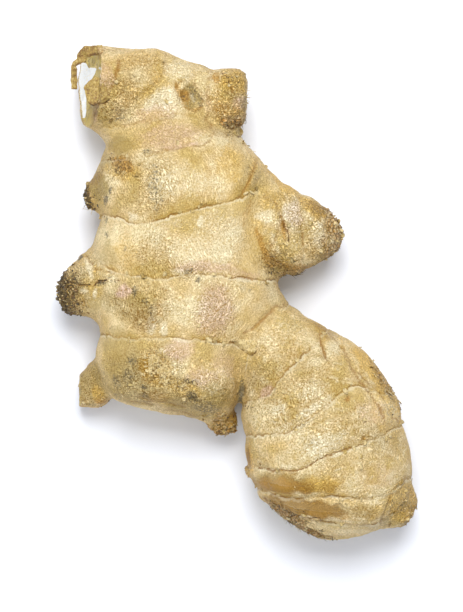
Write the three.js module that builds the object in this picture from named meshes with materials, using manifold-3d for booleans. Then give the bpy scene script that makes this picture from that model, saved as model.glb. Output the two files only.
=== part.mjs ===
// A hand of ginger root, the rhizome as it is sold: a thick trunk with ring scars, a short crown with a
// broken end, a knob, a finger, a big lobe and several buds, all grown together as one piece.
// Millimetres, +Z up. The hand lies on its broad side. The origin is on the table, under the middle
// of the hand, and +Y runs from the big lobe to the crown.
import * as THREE from "three";
import { mergeVertices } from "three/addons/utils/BufferGeometryUtils.js";
import { ImprovedNoise } from "three/addons/math/ImprovedNoise.js";
import Module from "manifold-3d";

const wasm = await Module();
wasm.setup();

// Relief of the skin.
const GROOVE_DEPTH = 0.5; // a ring scar below the skin
const LIP_HEIGHT = 0.28; // the old scale's edge, on the near side of a scar
const SCAR_REACH = 1.0; // from the middle of a scar to its lip
const SCAR_STEEPNESS = 6; // of the bell curve across a groove or a lip
const LIP_SHARE = 0.3; // the most of the way between two rows that a lip takes up
const SWELL = 0.55; // how far the skin swells between two scars
const LUMP_HEIGHT = 0.55;
const LUMP_LENGTH = 9;
const GRAIN_LENGTH = 1.7; // the coarse crust on a bud's tip

// The blend where two limbs grew together.
const BLEND_PASSES = 12;
const BLEND_RATE = 0.6;

// A torn end.
const TEAR_CELL = 2;
const TEAR_DISH = 0.9;
const TEAR_RADIUS = 9;
const TEAR_ROUGH = 1.5;
const TEAR_LENGTH = 4;

// Steps of the mesh.
const STEP_LENGTH = 3.4; // along a limb
const CAP_STEPS = 5; // rows over a rounded end

const ROW_STEP = 0.5; // rows over which a limb's direction is measured
const CURVE_TENSION = 0.5;
const WELD_DISTANCE = 0.0001; // points closer than this are one

const TABLE_SIZE = 400; // the block under the table's surface, which trims the foot flat
const SKY = 100; // above everything

// One row of a limb lies across it. left and right are the edges of its outline seen from above,
// looking out along the limb. low and high are its heights over the table. bow is how far the row
// runs ahead of the straight line between its edges at a quarter, a half and three quarters.
const row = (left, right, [low, high], bow = [0, 0, 0]) => ({ left, right, low, high, bow, scar: false });
const scar = (...parts) => ({ ...row(...parts), scar: true });

// blend is how far from a crease the limb's skin is rounded. Where two limbs meet, the smaller
// value holds. square is the section's superellipse power: 2 is an ellipse, more is boxier. blunt
// is the same for the two rounded ends. crust is the height of the grain over the last part of a bud.
const limbs = {
  trunk: {
    blend: 4.5,
    around: 40,
    square: 2.5,
    blunt: 2.8,
    rows: [
      row([-24.1, -29.3], [-7.1, -30.6], [8, 20]),
      row([-31.9, -24.2], [0.2, -26.4], [1.5, 27]),
      row([-34.6, -15.9], [1.7, -19.4], [-0.8, 29.5]),
      scar([-34, -9.7], [5.4, -13.2], [-0.3, 30], [-0.4, 0.8, 0.6]),
      row([-34.9, -1.4], [11.2, -2.9], [0.6, 30.5], [-1, -0.3, 0.4]),
      scar([-36.3, 8.1], [10.1, 3.1], [0.8, 30.5], [-2.1, -1.2, 0.2]),
      row([-34.8, 14.1], [5.9, 14.9], [0.8, 30.5], [-3, -1.6, -0.8]),
      scar([-33.7, 19.6], [6.9, 26.1], [0.8, 30.5], [-3.8, -2.1, -1.9]),
      row([-35.2, 27.6], [6.9, 31.1], [0.8, 29.5], [-1.5, -0.8, 0]),
      scar([-33.9, 33.4], [2.7, 37.1], [0.5, 28], [-0.4, 0.8, 3]),
      row([-32.2, 37.6], [0, 40.1], [0, 26.5], [0, 0.4, 1.5]),
      scar([-35.1, 41.9], [-3.1, 43.1], [-0.7, 26], [-0.3, 1.1, 1.5]),
      row([-34.1, 53.1], [-6.8, 55], [0, 25.5]),
      row([-31.1, 60.9], [-13.6, 59.6], [6, 20]),
    ],
  },
  heel: {
    blend: 4.5,
    around: 22,
    square: 2.2,
    blunt: 2.2,
    rows: [
      row([-3.6, -13.4], [-11.6, -13.4], [8, 22]),
      row([0.9, -19.9], [-16.1, -20.4], [2, 30.5]),
      row([0.2, -26.4], [-14.1, -27.4], [2.5, 27]),
      row([-3.1, -32.4], [-9.1, -32.9], [9, 17]),
    ],
  },
  crown: {
    blend: 3,
    around: 26,
    square: 2.5,
    blunt: 2.8,
    rows: [
      row([-24.1, 43.6], [-12.8, 54.9], [7, 21]),
      scar([-31.6, 42.1], [-17.6, 60.9], [3, 27], [-1.5, -2.7, -3.6]),
      row([-35, 40.9], [-28.6, 61], [3.5, 27]),
      row([-37.7, 43.1], [-34.8, 61.7], [4.5, 26]),
      row([-38.6, 47.4], [-38.6, 60.6], [5.5, 24.5]),
      row([-41.6, 49.1], [-41.6, 58.6], [8, 21]),
    ],
    // The broken end: a plane through a point, with its outward normal.
    cut: { point: [-36.9, 54, 15], normal: [-1, 0.12, 0.3], size: 32 },
  },
  knob: {
    blend: 3.4,
    around: 24,
    square: 2.6,
    blunt: 3.6,
    rows: [
      row([-11.1, 55.6], [-11.1, 42.4], [9, 22]),
      scar([-7.1, 56.2], [-6.6, 41.1], [7.5, 24.5]),
      row([0.4, 56], [-0.1, 41], [8, 24]),
      row([2.8, 53.1], [2.6, 43.6], [11, 21]),
    ],
  },
  finger: {
    blend: 4.5,
    around: 28,
    square: 2.2,
    blunt: 2.2,
    rows: [
      row([-0.3, 30.6], [0.9, 8.6], [6, 22]),
      row([6.4, 32.1], [6.4, 5.9], [4.5, 23.5]),
      scar([11.2, 28.1], [12.9, 4.8], [4, 23], [0, -0.3, 0]),
      scar([16.2, 24.9], [16.9, 6.1], [4.2, 21.5], [0, -0.3, 0]),
      scar([21.4, 22.2], [23.9, 10.2], [5, 19.5]),
      row([26.6, 18.1], [26.8, 13.1], [9, 15]),
    ],
    crust: 0.35,
  },
  lobe: {
    blend: 4.5,
    around: 38,
    square: 2.3,
    blunt: 2.2,
    rows: [
      row([8.9, -1.4], [-1.1, -14.4], [6, 21]),
      scar([13.4, -2.4], [1.2, -19.4], [2.5, 26], [-3.3, -3.6, -1.6]),
      row([17.7, -6.2], [1.2, -23.4], [1.6, 28.2], [-1, -1, 0.5]),
      scar([22.7, -8.6], [1.7, -27.2], [1, 30], [0.8, 1.1, 2.1]),
      row([31.4, -14.4], [1.8, -30.9], [0.2, 32], [-1.5, 0, 1.8]),
      scar([39.2, -24.2], [2.4, -35.4], [-0.6, 33.2], [-4.2, -1.2, 1.5]),
      scar([41.4, -32.4], [3.4, -42.9], [-0.9, 33.6], [1.4, 1.8, 3.4]),
      scar([43.9, -45.9], [5.2, -48.2], [0.3, 31], [3.6, 3, 2.8]),
      scar([40.4, -54.9], [7.9, -52.3], [2.8, 26.5], [2.7, 3, 2.1]),
      row([28.9, -61.7], [19.9, -61.7], [9, 17]),
    ],
  },
  upper_bud: {
    blend: 1.6,
    around: 16,
    square: 2.1,
    blunt: 2.1,
    rows: [
      row([-30.6, 22.1], [-31.1, 29.1], [11, 20]),
      row([-33.6, 21.6], [-34.6, 29.4], [10, 20.5]),
      row([-36.1, 21.7], [-36.6, 27.6], [10.5, 18.5]),
      row([-38.3, 23.1], [-38.3, 25.9], [12.5, 16]),
    ],
    crust: 0.4,
  },
  side_bud: {
    blend: 2.4,
    around: 22,
    square: 2.1,
    blunt: 2.3,
    rows: [
      row([-29.1, -5.9], [-30.3, 8.1], [6, 22]),
      row([-34.6, -5.7], [-36.8, 10.4], [4, 23]),
      row([-39.1, -5], [-40, 7.9], [4.5, 20.5]),
      row([-42.6, -3.7], [-43.2, 4.4], [6.5, 17.5]),
      row([-44.9, -1.2], [-44.9, 1.9], [10, 14]),
    ],
    crust: 0.5,
  },
  stub: {
    blend: 2,
    around: 18,
    square: 2.8,
    blunt: 2.5,
    rows: [
      row([-29.1, -25.9], [-32.1, -16.9], [3, 15]),
      row([-31.8, -25.7], [-35.6, -16.7], [1.8, 15]),
      row([-33.8, -27.7], [-37.6, -19.2], [1.6, 13.5]),
      row([-37.3, -28.0], [-39.0, -20.3], [2, 12]),
      row([-43.1, -28.0], [-43.6, -22.8], [3, 10]),
    ],
    cut: { point: [-39.2, -24, 7], normal: [-0.996, 0, 0.087], size: 20 },
  },
  foot_nub: {
    blend: 1.8,
    around: 16,
    square: 2.1,
    blunt: 2.1,
    rows: [
      row([-0.1, -26.9], [-7.1, -26.9], [3, 14]),
      row([-0.2, -30.9], [-7.6, -31.4], [2.5, 13.5]),
      row([-0.3, -33.4], [-5.6, -34.2], [3.5, 12]),
      row([-1.3, -35.4], [-3.6, -35.2], [6, 9.5]),
    ],
    crust: 0.4,
  },
  tip_bud: {
    blend: 2,
    around: 20,
    square: 2.3,
    blunt: 2.4,
    rows: [
      row([38.9, -44.9], [32.4, -54.4], [5, 21]),
      row([43.7, -47.7], [36.7, -57.7], [4, 20.5]),
      row([45.1, -51.7], [41.4, -57.8], [5, 17.5]),
      row([44.9, -53.4], [43.4, -56.7], [8.5, 13.5]),
    ],
    crust: 0.3,
  },
  root_nub: {
    blend: 1,
    around: 12,
    square: 2,
    blunt: 2,
    rows: [
      row([5.4, -46.4], [4.9, -42.2], [9, 14.5]),
      row([3.3, -45.7], [2.9, -42.7], [9.5, 14]),
      row([2.1, -44.7], [2.1, -43.4], [10.8, 12.8]),
    ],
  },
};

// Round scars of old buds and roots: a raised rim, sunk into the skin. Each is on the surface under
// (x, y), found by dropping a ray.
const eyes = [
  { x: -11.9, y: 48.9, radius: 2.5, rim: 0.75 },
  { x: -8.8, y: -16.2, radius: 0.8, rim: 0.6 },
];

const EYE_SECTION_SIDES = 6;
const EYE_SIDES = 14;
const EYE_STRETCH = [1.05, 0.8, 0.6];

// Stumps of broken roots: low warts.
const warts = [
  { x: -19.6, y: -16.4, radius: 1.2 },
  { x: -17.4, y: -18.6, radius: 1.0 },
  { x: -14.2, y: -20.4, radius: 1.1 },
  { x: -10.6, y: 31.5, radius: 0.9 },
  { x: 28.4, y: -25.6, radius: 0.9 },
  { x: 31.2, y: -35.8, radius: 0.9 },
  { x: 9.2, y: -43.7, radius: 0.9 },
  { x: -23.2, y: 39.3, radius: 1.0 },
];

const WART_SIDES = 8;
const WART_RINGS = 5;
const WART_STRETCH = [1, 0.8, 0.55];

// A strip of peeled skin that hooks away from the crown's broken end.
const PEEL_PATH = [
  [-33, 57.4, 20.8],
  [-35.8, 58, 20.7],
  [-38.4, 58.3, 20.4],
  [-40.3, 57.2, 19.9],
  [-40.6, 54.4, 19.2],
  [-40.3, 51.4, 18.6],
];
const PEEL_WIDTH = 1.3;
const PEEL_THICKNESS = 0.8;
const PEEL_STEPS = 12;

const noise = new ImprovedNoise();
const UP = new THREE.Vector3(0, 0, 1);
const FULL_SIZE = new THREE.Vector3(1, 1, 1);

// Noise from -1 to 1 whose lumps are about `length` across.
function lumps({ x, y, z }, length) {
  return noise.noise(x / length, y / length, z / length);
}

// A solid from a closed three.js geometry.
function solidOf(geometry) {
  const bare = geometry.clone();
  bare.deleteAttribute("normal");
  bare.deleteAttribute("uv");
  const merged = mergeVertices(bare, WELD_DISTANCE);
  const vertProperties = new Float32Array(merged.attributes.position.array);
  const triVerts = new Uint32Array(merged.index.array);
  return new wasm.Manifold(new wasm.Mesh({ numProp: 3, vertProperties, triVerts }));
}

// A three.js geometry from a solid.
function geometryOf(solid) {
  const mesh = solid.getMesh();
  const geometry = new THREE.BufferGeometry();
  geometry.setAttribute("position", new THREE.BufferAttribute(mesh.vertProperties, 3));
  geometry.setIndex(new THREE.BufferAttribute(mesh.triVerts, 1));
  geometry.computeVertexNormals();
  return geometry;
}

// The share of full size at a rounded end, 0 at the very end and 1 where the rounding stops: a
// superellipse quarter.
const rounding = (share, power) => (1 - (1 - Math.min(share, 1)) ** power) ** (1 / power);

// The rows of one limb as smooth curves of the row number, t.
function railsOf({ rows }) {
  const curve = (pick) => {
    const points = rows.map((r) => new THREE.Vector3(...pick(r)));
    return new THREE.CatmullRomCurve3(points, false, "catmullrom", CURVE_TENSION);
  };
  const left = curve((r) => [...r.left, r.low]);
  const right = curve((r) => [...r.right, r.high]);
  const bow = curve((r) => r.bow);
  const last = rows.length - 1;
  return (t) => ({
    left: left.getPoint(t / last),
    right: right.getPoint(t / last),
    bow: bow.getPoint(t / last),
  });
}

// The bow at a place across the row, from -1 at the left edge to 1 at the right: a smooth curve
// through 0, the three given values and 0.
function bowAt(bow, across) {
  const heights = [0, bow.x, bow.y, bow.z, 0];
  const line = new THREE.SplineCurve(heights.map((height, i) => new THREE.Vector2(i, height)));
  return line.getPoint((across + 1) / 2).y;
}

// The middle of a row, seen from above.
function middleOf({ left, right }) {
  return new THREE.Vector2(left[0] + right[0], left[1] + right[1]).divideScalar(2);
}

// Row numbers at which a limb's skin is drawn: close together over the rounded ends and beside
// each scar, and about STEP_LENGTH apart elsewhere.
function stepsOf({ rows }) {
  const last = rows.length - 1;
  const quarterTurns = Array.from({ length: CAP_STEPS }, (_, k) => ((Math.PI / 2) * k) / CAP_STEPS);
  const between = rows.slice(1, last).map((a, k) => {
    const i = k + 1;
    const b = rows[i + 1];
    if (i === last - 1) {
      return quarterTurns.map((angle) => i + Math.sin(angle));
    }
    const length = middleOf(a).distanceTo(middleOf(b));
    const lip = Math.min(LIP_SHARE, SCAR_REACH / length);
    const from = a.scar ? lip : 0;
    const to = b.scar ? 1 - lip : 1;
    const count = Math.max(1, Math.round(((to - from) * length) / STEP_LENGTH));
    const even = Array.from({ length: count }, (_, n) => i + from + ((to - from) * n) / count);
    return [...(a.scar ? [i] : []), ...even, ...(b.scar ? [i + to] : [])];
  });
  return [...quarterTurns.map((angle) => 1 - Math.cos(angle)), ...between.flat(), last];
}

// How far the skin stands out of the limb's plain shape at row number t, where a row is `length` mm
// from the next: a groove and a lip at each scar, a swelling between scars, and broad lumps.
function reliefAt({ rows, crust = 0 }, t, length, place) {
  const last = rows.length - 1;
  const scars = rows.flatMap((r, i) => (r.scar ? [i] : []));
  let height = LUMP_HEIGHT * lumps(place, LUMP_LENGTH);
  for (const s of scars) {
    const ahead = ((t - s) * length) / SCAR_REACH;
    height -= GROOVE_DEPTH * Math.exp(-SCAR_STEEPNESS * ahead ** 2);
    height += LIP_HEIGHT * Math.exp(-SCAR_STEEPNESS * (ahead + 1) ** 2);
  }
  const before = Math.max(0, ...scars.filter((s) => s <= t));
  const after = Math.min(last, ...scars.filter((s) => s > t));
  height += SWELL * Math.sin((Math.PI * (t - before)) / (after - before));
  return height + crust * lumps(place, GRAIN_LENGTH) * THREE.MathUtils.smoothstep(t, last - 2, last - 1);
}

// The closed skin of one limb. At row number t and angle a round the section, the point is the
// row's middle, plus cos(a) of its half width across, plus sin(a) of its half height up, plus the
// bow ahead. Both half sizes shrink to nothing over the first and the last row.
function limbGeometry(limb) {
  const rails = railsOf(limb);
  const steps = stepsOf(limb);
  const last = limb.rows.length - 1;
  const rounded = (trig) => Math.sign(trig) * Math.abs(trig) ** (2 / limb.square);
  const positions = [];
  for (const t of steps) {
    const { left, right, bow } = rails(t);
    const before = Math.max(0, t - ROW_STEP);
    const after = Math.min(last, t + ROW_STEP);
    const middle = (at) => new THREE.Vector3().lerpVectors(rails(at).left, rails(at).right, 0.5).setZ(0);
    const length = middle(before).distanceTo(middle(after)) / (after - before);
    const centre = new THREE.Vector3().lerpVectors(left, right, 0.5);
    const half = new THREE.Vector2(right.x - left.x, right.y - left.y).divideScalar(2);
    const ahead = new THREE.Vector2(-half.y, half.x).normalize();
    const full = rounding(t, limb.blunt) * rounding(last - t, limb.blunt);
    const pole = t === 0 || t === last;
    for (let k = 0; k < (pole ? 1 : limb.around); k++) {
      const angle = (2 * Math.PI * k) / limb.around;
      const across = pole ? 0 : rounded(Math.cos(angle)) * full;
      const up = pole ? 0 : rounded(Math.sin(angle)) * full;
      const forward = bowAt(bow, across);
      const plain = new THREE.Vector3(
        centre.x + half.x * across + ahead.x * forward,
        centre.y + half.y * across + ahead.y * forward,
        centre.z + ((right.z - left.z) / 2) * up,
      );
      const relief = pole ? 0 : reliefAt(limb, t, length, plain) * full;
      const side = half.clone().normalize().multiplyScalar(Math.cos(angle) * relief);
      positions.push(plain.x + side.x, plain.y + side.y, plain.z + Math.sin(angle) * relief);
    }
  }
  const geometry = new THREE.BufferGeometry();
  geometry.setAttribute("position", new THREE.Float32BufferAttribute(positions, 3));
  geometry.setIndex(skinIndex(steps.length, limb.around));
  return geometry;
}

// Triangles over rings of `around` points between two poles, facing out.
function skinIndex(rings, around) {
  const index = [];
  const inner = rings - 2;
  const at = (ring, k) => 1 + ring * around + (k % around);
  for (let k = 0; k < around; k++) {
    index.push(0, at(0, k), at(0, k + 1));
    for (let ring = 0; ring < inner - 1; ring++) {
      const [a, b, c, d] = [at(ring, k), at(ring, k + 1), at(ring + 1, k + 1), at(ring + 1, k)];
      index.push(a, d, c, a, c, b);
    }
    index.push(1 + inner * around, at(inner - 1, k + 1), at(inner - 1, k));
  }
  return index;
}

// The limbs grown together, with the sharp creases between them filled and rounded. Skin within
// blend of a crease is drawn towards the average of its neighbours again and again, most at the
// crease itself.
function grownTogether() {
  const parts = Object.values(limbs).map((limb) => ({ limb, solid: solidOf(limbGeometry(limb)) }));
  const reachOf = new Map(parts.map(({ limb, solid }) => [solid.getMesh().runOriginalID[0], limb.blend]));
  const sum = parts.map(({ solid }) => solid).reduce((all, solid) => all.add(solid));
  const { vertProperties, triVerts, runIndex, runOriginalID } = sum.getMesh();
  const pointAt = (_, i) => new THREE.Vector3().fromArray(vertProperties, 3 * i);
  const points = Array.from({ length: vertProperties.length / 3 }, pointAt);
  const reaches = points.map(() => new Map());
  const neighbours = points.map(() => new Set());
  runOriginalID.forEach((limb, run) => {
    const corners = triVerts.subarray(runIndex[run], runIndex[run + 1]);
    corners.forEach((corner) => reaches[corner].set(limb, reachOf.get(limb)));
  });
  for (let i = 0; i < triVerts.length; i += 3) {
    const corner = triVerts.slice(i, i + 3);
    corner.forEach((a, k) => neighbours[a].add(corner[(k + 1) % 3]).add(corner[(k + 2) % 3]));
  }
  const crease = points.flatMap((point, i) =>
    reaches[i].size > 1 ? [{ point: point.clone(), reach: Math.min(...reaches[i].values()) }] : [],
  );
  const weights = points.map((place) => {
    const gap = Math.min(...crease.map(({ point, reach }) => point.distanceTo(place) / reach));
    return 1 - THREE.MathUtils.smoothstep(gap, 0, 1);
  });
  for (let pass = 0; pass < BLEND_PASSES; pass++) {
    const drawn = points.map((point, i) => {
      const average = [...neighbours[i]].reduce((sum, n) => sum.add(points[n]), new THREE.Vector3());
      return average.divideScalar(neighbours[i].size).sub(point);
    });
    points.forEach((point, i) => point.addScaledVector(drawn[i], BLEND_RATE * weights[i]));
  }
  const moved = new Float32Array(points.flatMap((point) => point.toArray()));
  return new wasm.Manifold(new wasm.Mesh({ numProp: 3, vertProperties: moved, triVerts }));
}

// A block whose face lies on the cut's plane and which covers all that is broken away. The face is
// torn: it dishes into the flesh and is rough.
function cutBlock({ point, normal, size }) {
  const out = new THREE.Vector3(...normal).normalize();
  const cells = Math.round(size / TEAR_CELL);
  const block = new THREE.BoxGeometry(size, size, size, cells, cells, 1);
  const { position } = block.attributes;
  for (let i = 0; i < position.count; i++) {
    const [x, y, z] = [position.getX(i), position.getY(i), position.getZ(i)];
    if (z < 0) {
      const dish = TEAR_DISH * Math.max(0, 1 - (Math.hypot(x, y) / TEAR_RADIUS) ** 2);
      const rough = TEAR_ROUGH * noise.noise(x / TEAR_LENGTH, y / TEAR_LENGTH, size);
      position.setZ(i, z - dish + rough);
    }
  }
  const turn = new THREE.Quaternion().setFromUnitVectors(UP, out);
  const middle = new THREE.Vector3(...point).addScaledVector(out, size / 2);
  return solidOf(block.applyMatrix4(new THREE.Matrix4().compose(middle, turn, FULL_SIZE)));
}

// The point and the outward normal of the body's upper skin over (x, y).
function skinOver(body, x, y) {
  const ray = new THREE.Raycaster(new THREE.Vector3(x, y, SKY), UP.clone().negate());
  const [hit] = ray.intersectObject(new THREE.Mesh(geometryOf(body)));
  return { point: hit.point, normal: hit.face.normal };
}

// Sets a geometry that is built around the Z axis on the skin over (x, y), along its normal.
function standOn(body, x, y, geometry) {
  const { point, normal } = skinOver(body, x, y);
  const turn = new THREE.Quaternion().setFromUnitVectors(UP, normal);
  return solidOf(geometry.applyMatrix4(new THREE.Matrix4().compose(point, turn, FULL_SIZE)));
}

function eyeSolid(body, { x, y, radius, rim }) {
  const ring = new THREE.TorusGeometry(radius, rim, EYE_SECTION_SIDES, EYE_SIDES);
  return standOn(body, x, y, ring.scale(...EYE_STRETCH));
}

function wartSolid(body, { x, y, radius }) {
  const ball = new THREE.SphereGeometry(radius, WART_SIDES, WART_RINGS);
  return standOn(body, x, y, ball.scale(...WART_STRETCH));
}

// The strip, swept along its path.
function peelSolid() {
  const [w, h] = [PEEL_WIDTH / 2, PEEL_THICKNESS / 2];
  const corners = [[-h, -w], [h, -w], [h, w], [-h, w]];
  const section = new THREE.Shape(corners.map(([x, y]) => new THREE.Vector2(x, y)));
  const extrudePath = new THREE.CatmullRomCurve3(PEEL_PATH.map((p) => new THREE.Vector3(...p)));
  return solidOf(new THREE.ExtrudeGeometry(section, { steps: PEEL_STEPS, extrudePath }));
}

// The solid under the table's surface.
function tableSolid() {
  const block = new THREE.BoxGeometry(TABLE_SIZE, TABLE_SIZE, TABLE_SIZE).translate(0, 0, -TABLE_SIZE / 2);
  return solidOf(block);
}

// The whole hand: limbs grown together, torn ends, eyes, warts, the peeled strip and a flat foot.
function gingerSolid() {
  const cuts = Object.values(limbs).flatMap((limb) => (limb.cut ? [cutBlock(limb.cut)] : []));
  const body = cuts.reduce((left, cut) => left.subtract(cut), grownTogether());
  const rims = eyes.map((eye) => eyeSolid(body, eye));
  const stumps = warts.map((wart) => wartSolid(body, wart));
  const dressed = [...rims, ...stumps, peelSolid()].reduce((sum, piece) => sum.add(piece), body);
  return dressed.subtract(tableSolid());
}

const skin = new THREE.MeshStandardMaterial({ color: 0xd2b47c, roughness: 0.72, metalness: 0 });
const ginger = new THREE.Mesh(geometryOf(gingerSolid()), skin);
ginger.name = "ginger_root";

const hand = new THREE.Group();
hand.add(ginger);
export default hand;
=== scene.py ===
"""A hand of ginger root: its skin, scars, crust, torn end, fibres and crumbs, in metres, +Z up.

Sizes in the tables below are millimetres in the part's own frame, and become metres when a mesh is
written. +Y runs from the big lobe to the crown, and the hand lies on z = 0.
"""
import logging
import math
from dataclasses import dataclass, field
from enum import Enum

import bpy
import numpy as np
from bpy.types import Material, Mesh, Node, NodeTree, Object
from bpy.types import NodeSocket as Socket
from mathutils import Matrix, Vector


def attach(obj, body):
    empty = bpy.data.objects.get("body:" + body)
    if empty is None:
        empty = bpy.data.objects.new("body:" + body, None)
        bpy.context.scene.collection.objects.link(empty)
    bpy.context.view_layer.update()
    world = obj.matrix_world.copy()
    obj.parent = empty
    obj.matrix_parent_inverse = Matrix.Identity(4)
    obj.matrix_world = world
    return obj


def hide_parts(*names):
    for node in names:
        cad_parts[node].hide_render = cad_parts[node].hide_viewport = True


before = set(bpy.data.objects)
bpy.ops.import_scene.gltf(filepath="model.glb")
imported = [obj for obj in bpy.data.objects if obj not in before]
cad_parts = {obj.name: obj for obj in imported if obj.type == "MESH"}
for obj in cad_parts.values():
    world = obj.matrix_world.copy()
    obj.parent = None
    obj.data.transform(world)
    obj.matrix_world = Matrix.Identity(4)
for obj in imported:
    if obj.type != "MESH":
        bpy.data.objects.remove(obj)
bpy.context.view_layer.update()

NODE = "ginger_root"
BODY = "root"
METRES = 0.001  # in one millimetre
FAR = 99.0  # mm, farther than any blend
BEYOND = 9.0  # mm, past where any scar or tear still tells
LOWEST = 0.02  # mm, how near the table a small piece may come
SHEET_SHARE = 0.97  # what a level sheet gives back to show at full white
LOG = logging.getLogger("ginger")

Array = np.ndarray


# Helpers for arrays


def smoothstep(value: Array, low: float, high: float) -> Array:
    """Eases from 0 at low to 1 at high: 3s^2 - 2s^3.

    Args:
        value: The values to ease.
        low: Where the step starts.
        high: Where it ends.

    Returns:
        Numbers from 0 to 1.
    """
    share = np.clip((value - low) / (high - low), 0.0, 1.0)
    return share * share * (3.0 - 2.0 * share)


def hump(value: Array, width: float) -> Array:
    """A bell curve of height 1 round zero: e to the power of -(value / width)^2."""
    return np.exp(-((value / width) ** 2))


def catmull(points: Array, at: Array) -> Array:
    """A smooth curve through rows of numbers: the uniform Catmull-Rom cubic, mirrored past its ends.

    Args:
        points: (rows, numbers) array.
        at: Row numbers, whole or between.

    Returns:
        (len(at), numbers) array.
    """
    padded = np.vstack([2 * points[0] - points[1], points, 2 * points[-1] - points[-2]])
    first = np.clip(np.floor(at).astype(int), 0, len(points) - 2)
    share = (at - first)[:, None]
    before, here, there, after = (padded[first + k] for k in range(4))
    leave, arrive = (there - before) / 2, (after - here) / 2
    cube = 2 * here - 2 * there + leave + arrive
    square = -3 * here + 3 * there - 2 * leave - arrive
    return ((cube * share + square) * share + leave) * share + here


def line_distance(places: Array, line: Array) -> tuple[Array, Array]:
    """Distance in the plane from each place to a line of straight stretches.

    Args:
        places: (n, 2) array.
        line: (points, 2) array.

    Returns:
        (n,) distances, above zero on the line's left, and (n,) shares of the way along the line.
    """
    starts, steps = line[:-1], np.diff(line, axis=0)
    length = np.linalg.norm(steps, axis=1)
    away = places[:, None] - starts[None]
    share = np.clip((away * steps).sum(2) / length**2, 0, 1)
    gaps = np.linalg.norm(away - share[..., None] * steps, axis=2)
    nearest = gaps.argmin(1)
    row = np.arange(len(places))
    there, step = away[row, nearest], steps[nearest]
    left = np.sign(step[:, 0] * there[:, 1] - step[:, 1] * there[:, 0])
    before = np.concatenate([[0], np.cumsum(length)[:-1]])[nearest]
    along = (before + share[row, nearest] * length[nearest]) / length.sum()
    return gaps[row, nearest] * left, along


@dataclass
class Grain:
    """Seeded noise in space: gradient noise for soft lumps, and cells for crust."""

    seed: int

    def __post_init__(self) -> None:
        """Draws the lattice's order, directions and cell centres."""
        draw = np.random.default_rng(self.seed)
        self.order = np.concatenate([draw.permutation(256)] * 3)
        slopes = draw.normal(size=(256, 3))
        self.slopes = slopes / np.linalg.norm(slopes, axis=1)[:, None]
        self.centres = draw.random((256, 3))

    def _entry(self, cell: Array) -> Array:
        """The table entry of each lattice cell."""
        x, y, z = (cell & 255).T
        return self.order[self.order[self.order[x] + y] + z]

    def soft(self, places: Array, length: float) -> Array:
        """Gradient noise: the slopes at the eight lattice corners, blended with 6s^5 - 15s^4 + 10s^3.

        Args:
            places: (n, 3) array.
            length: Size of one lattice cell.

        Returns:
            (n,) array from about -0.7 to 0.7.
        """
        scaled = places / length
        cell = np.floor(scaled).astype(int)
        inside = scaled - cell
        ease = inside**3 * (inside * (inside * 6 - 15) + 10)
        total = np.zeros(len(places))
        for corner in np.ndindex(2, 2, 2):
            step = np.array(corner)
            slope = self.slopes[self._entry(cell + step)]
            share = np.where(step, ease, 1 - ease).prod(1)
            total += share * (slope * (inside - step)).sum(1)
        return total

    def layered(self, places: Array, length: float, layers: int = 3) -> Array:
        """Soft noise summed over halving sizes and halving heights."""
        return sum(self.soft(places + 17.3 * k, length / 2**k) / 2**k for k in range(layers))

    def cells(self, places: Array, length: float) -> tuple[Array, Array]:
        """Distances to the nearest and the second nearest of one scattered point per lattice cell.

        Args:
            places: (n, 3) array.
            length: Size of one lattice cell.

        Returns:
            Two (n,) arrays, in cells.
        """
        scaled = places / length
        cell = np.floor(scaled).astype(int)
        near = np.full(len(places), np.inf)
        second = near.copy()
        for corner in np.ndindex(3, 3, 3):
            other = cell + np.array(corner) - 1
            centre = other + self.centres[self._entry(other)]
            gap = np.linalg.norm(scaled - centre, axis=1)
            second = np.minimum(second, np.maximum(near, gap))
            near = np.minimum(near, gap)
        return near, second


# The limbs of the hand


@dataclass(frozen=True)
class Row:
    """One row across a limb, seen from above, looking out along the limb.

    left and right are its edges, heights its lowest and highest point, and bow how far it runs
    ahead of the line between its edges at a quarter, a half and three quarters.
    """

    left: tuple[float, float]
    right: tuple[float, float]
    heights: tuple[float, float]
    bow: tuple[float, float, float] = (0.0, 0.0, 0.0)
    scar: bool = False


@dataclass
class Placement:
    """Where points lie in a limb's own coordinates."""

    row: Array  # row number along the limb
    gap: Array  # about how far outside the limb's plain skin, in mm
    spacing: Array  # mm from one row to the next
    around: Array  # mm round the section


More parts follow.
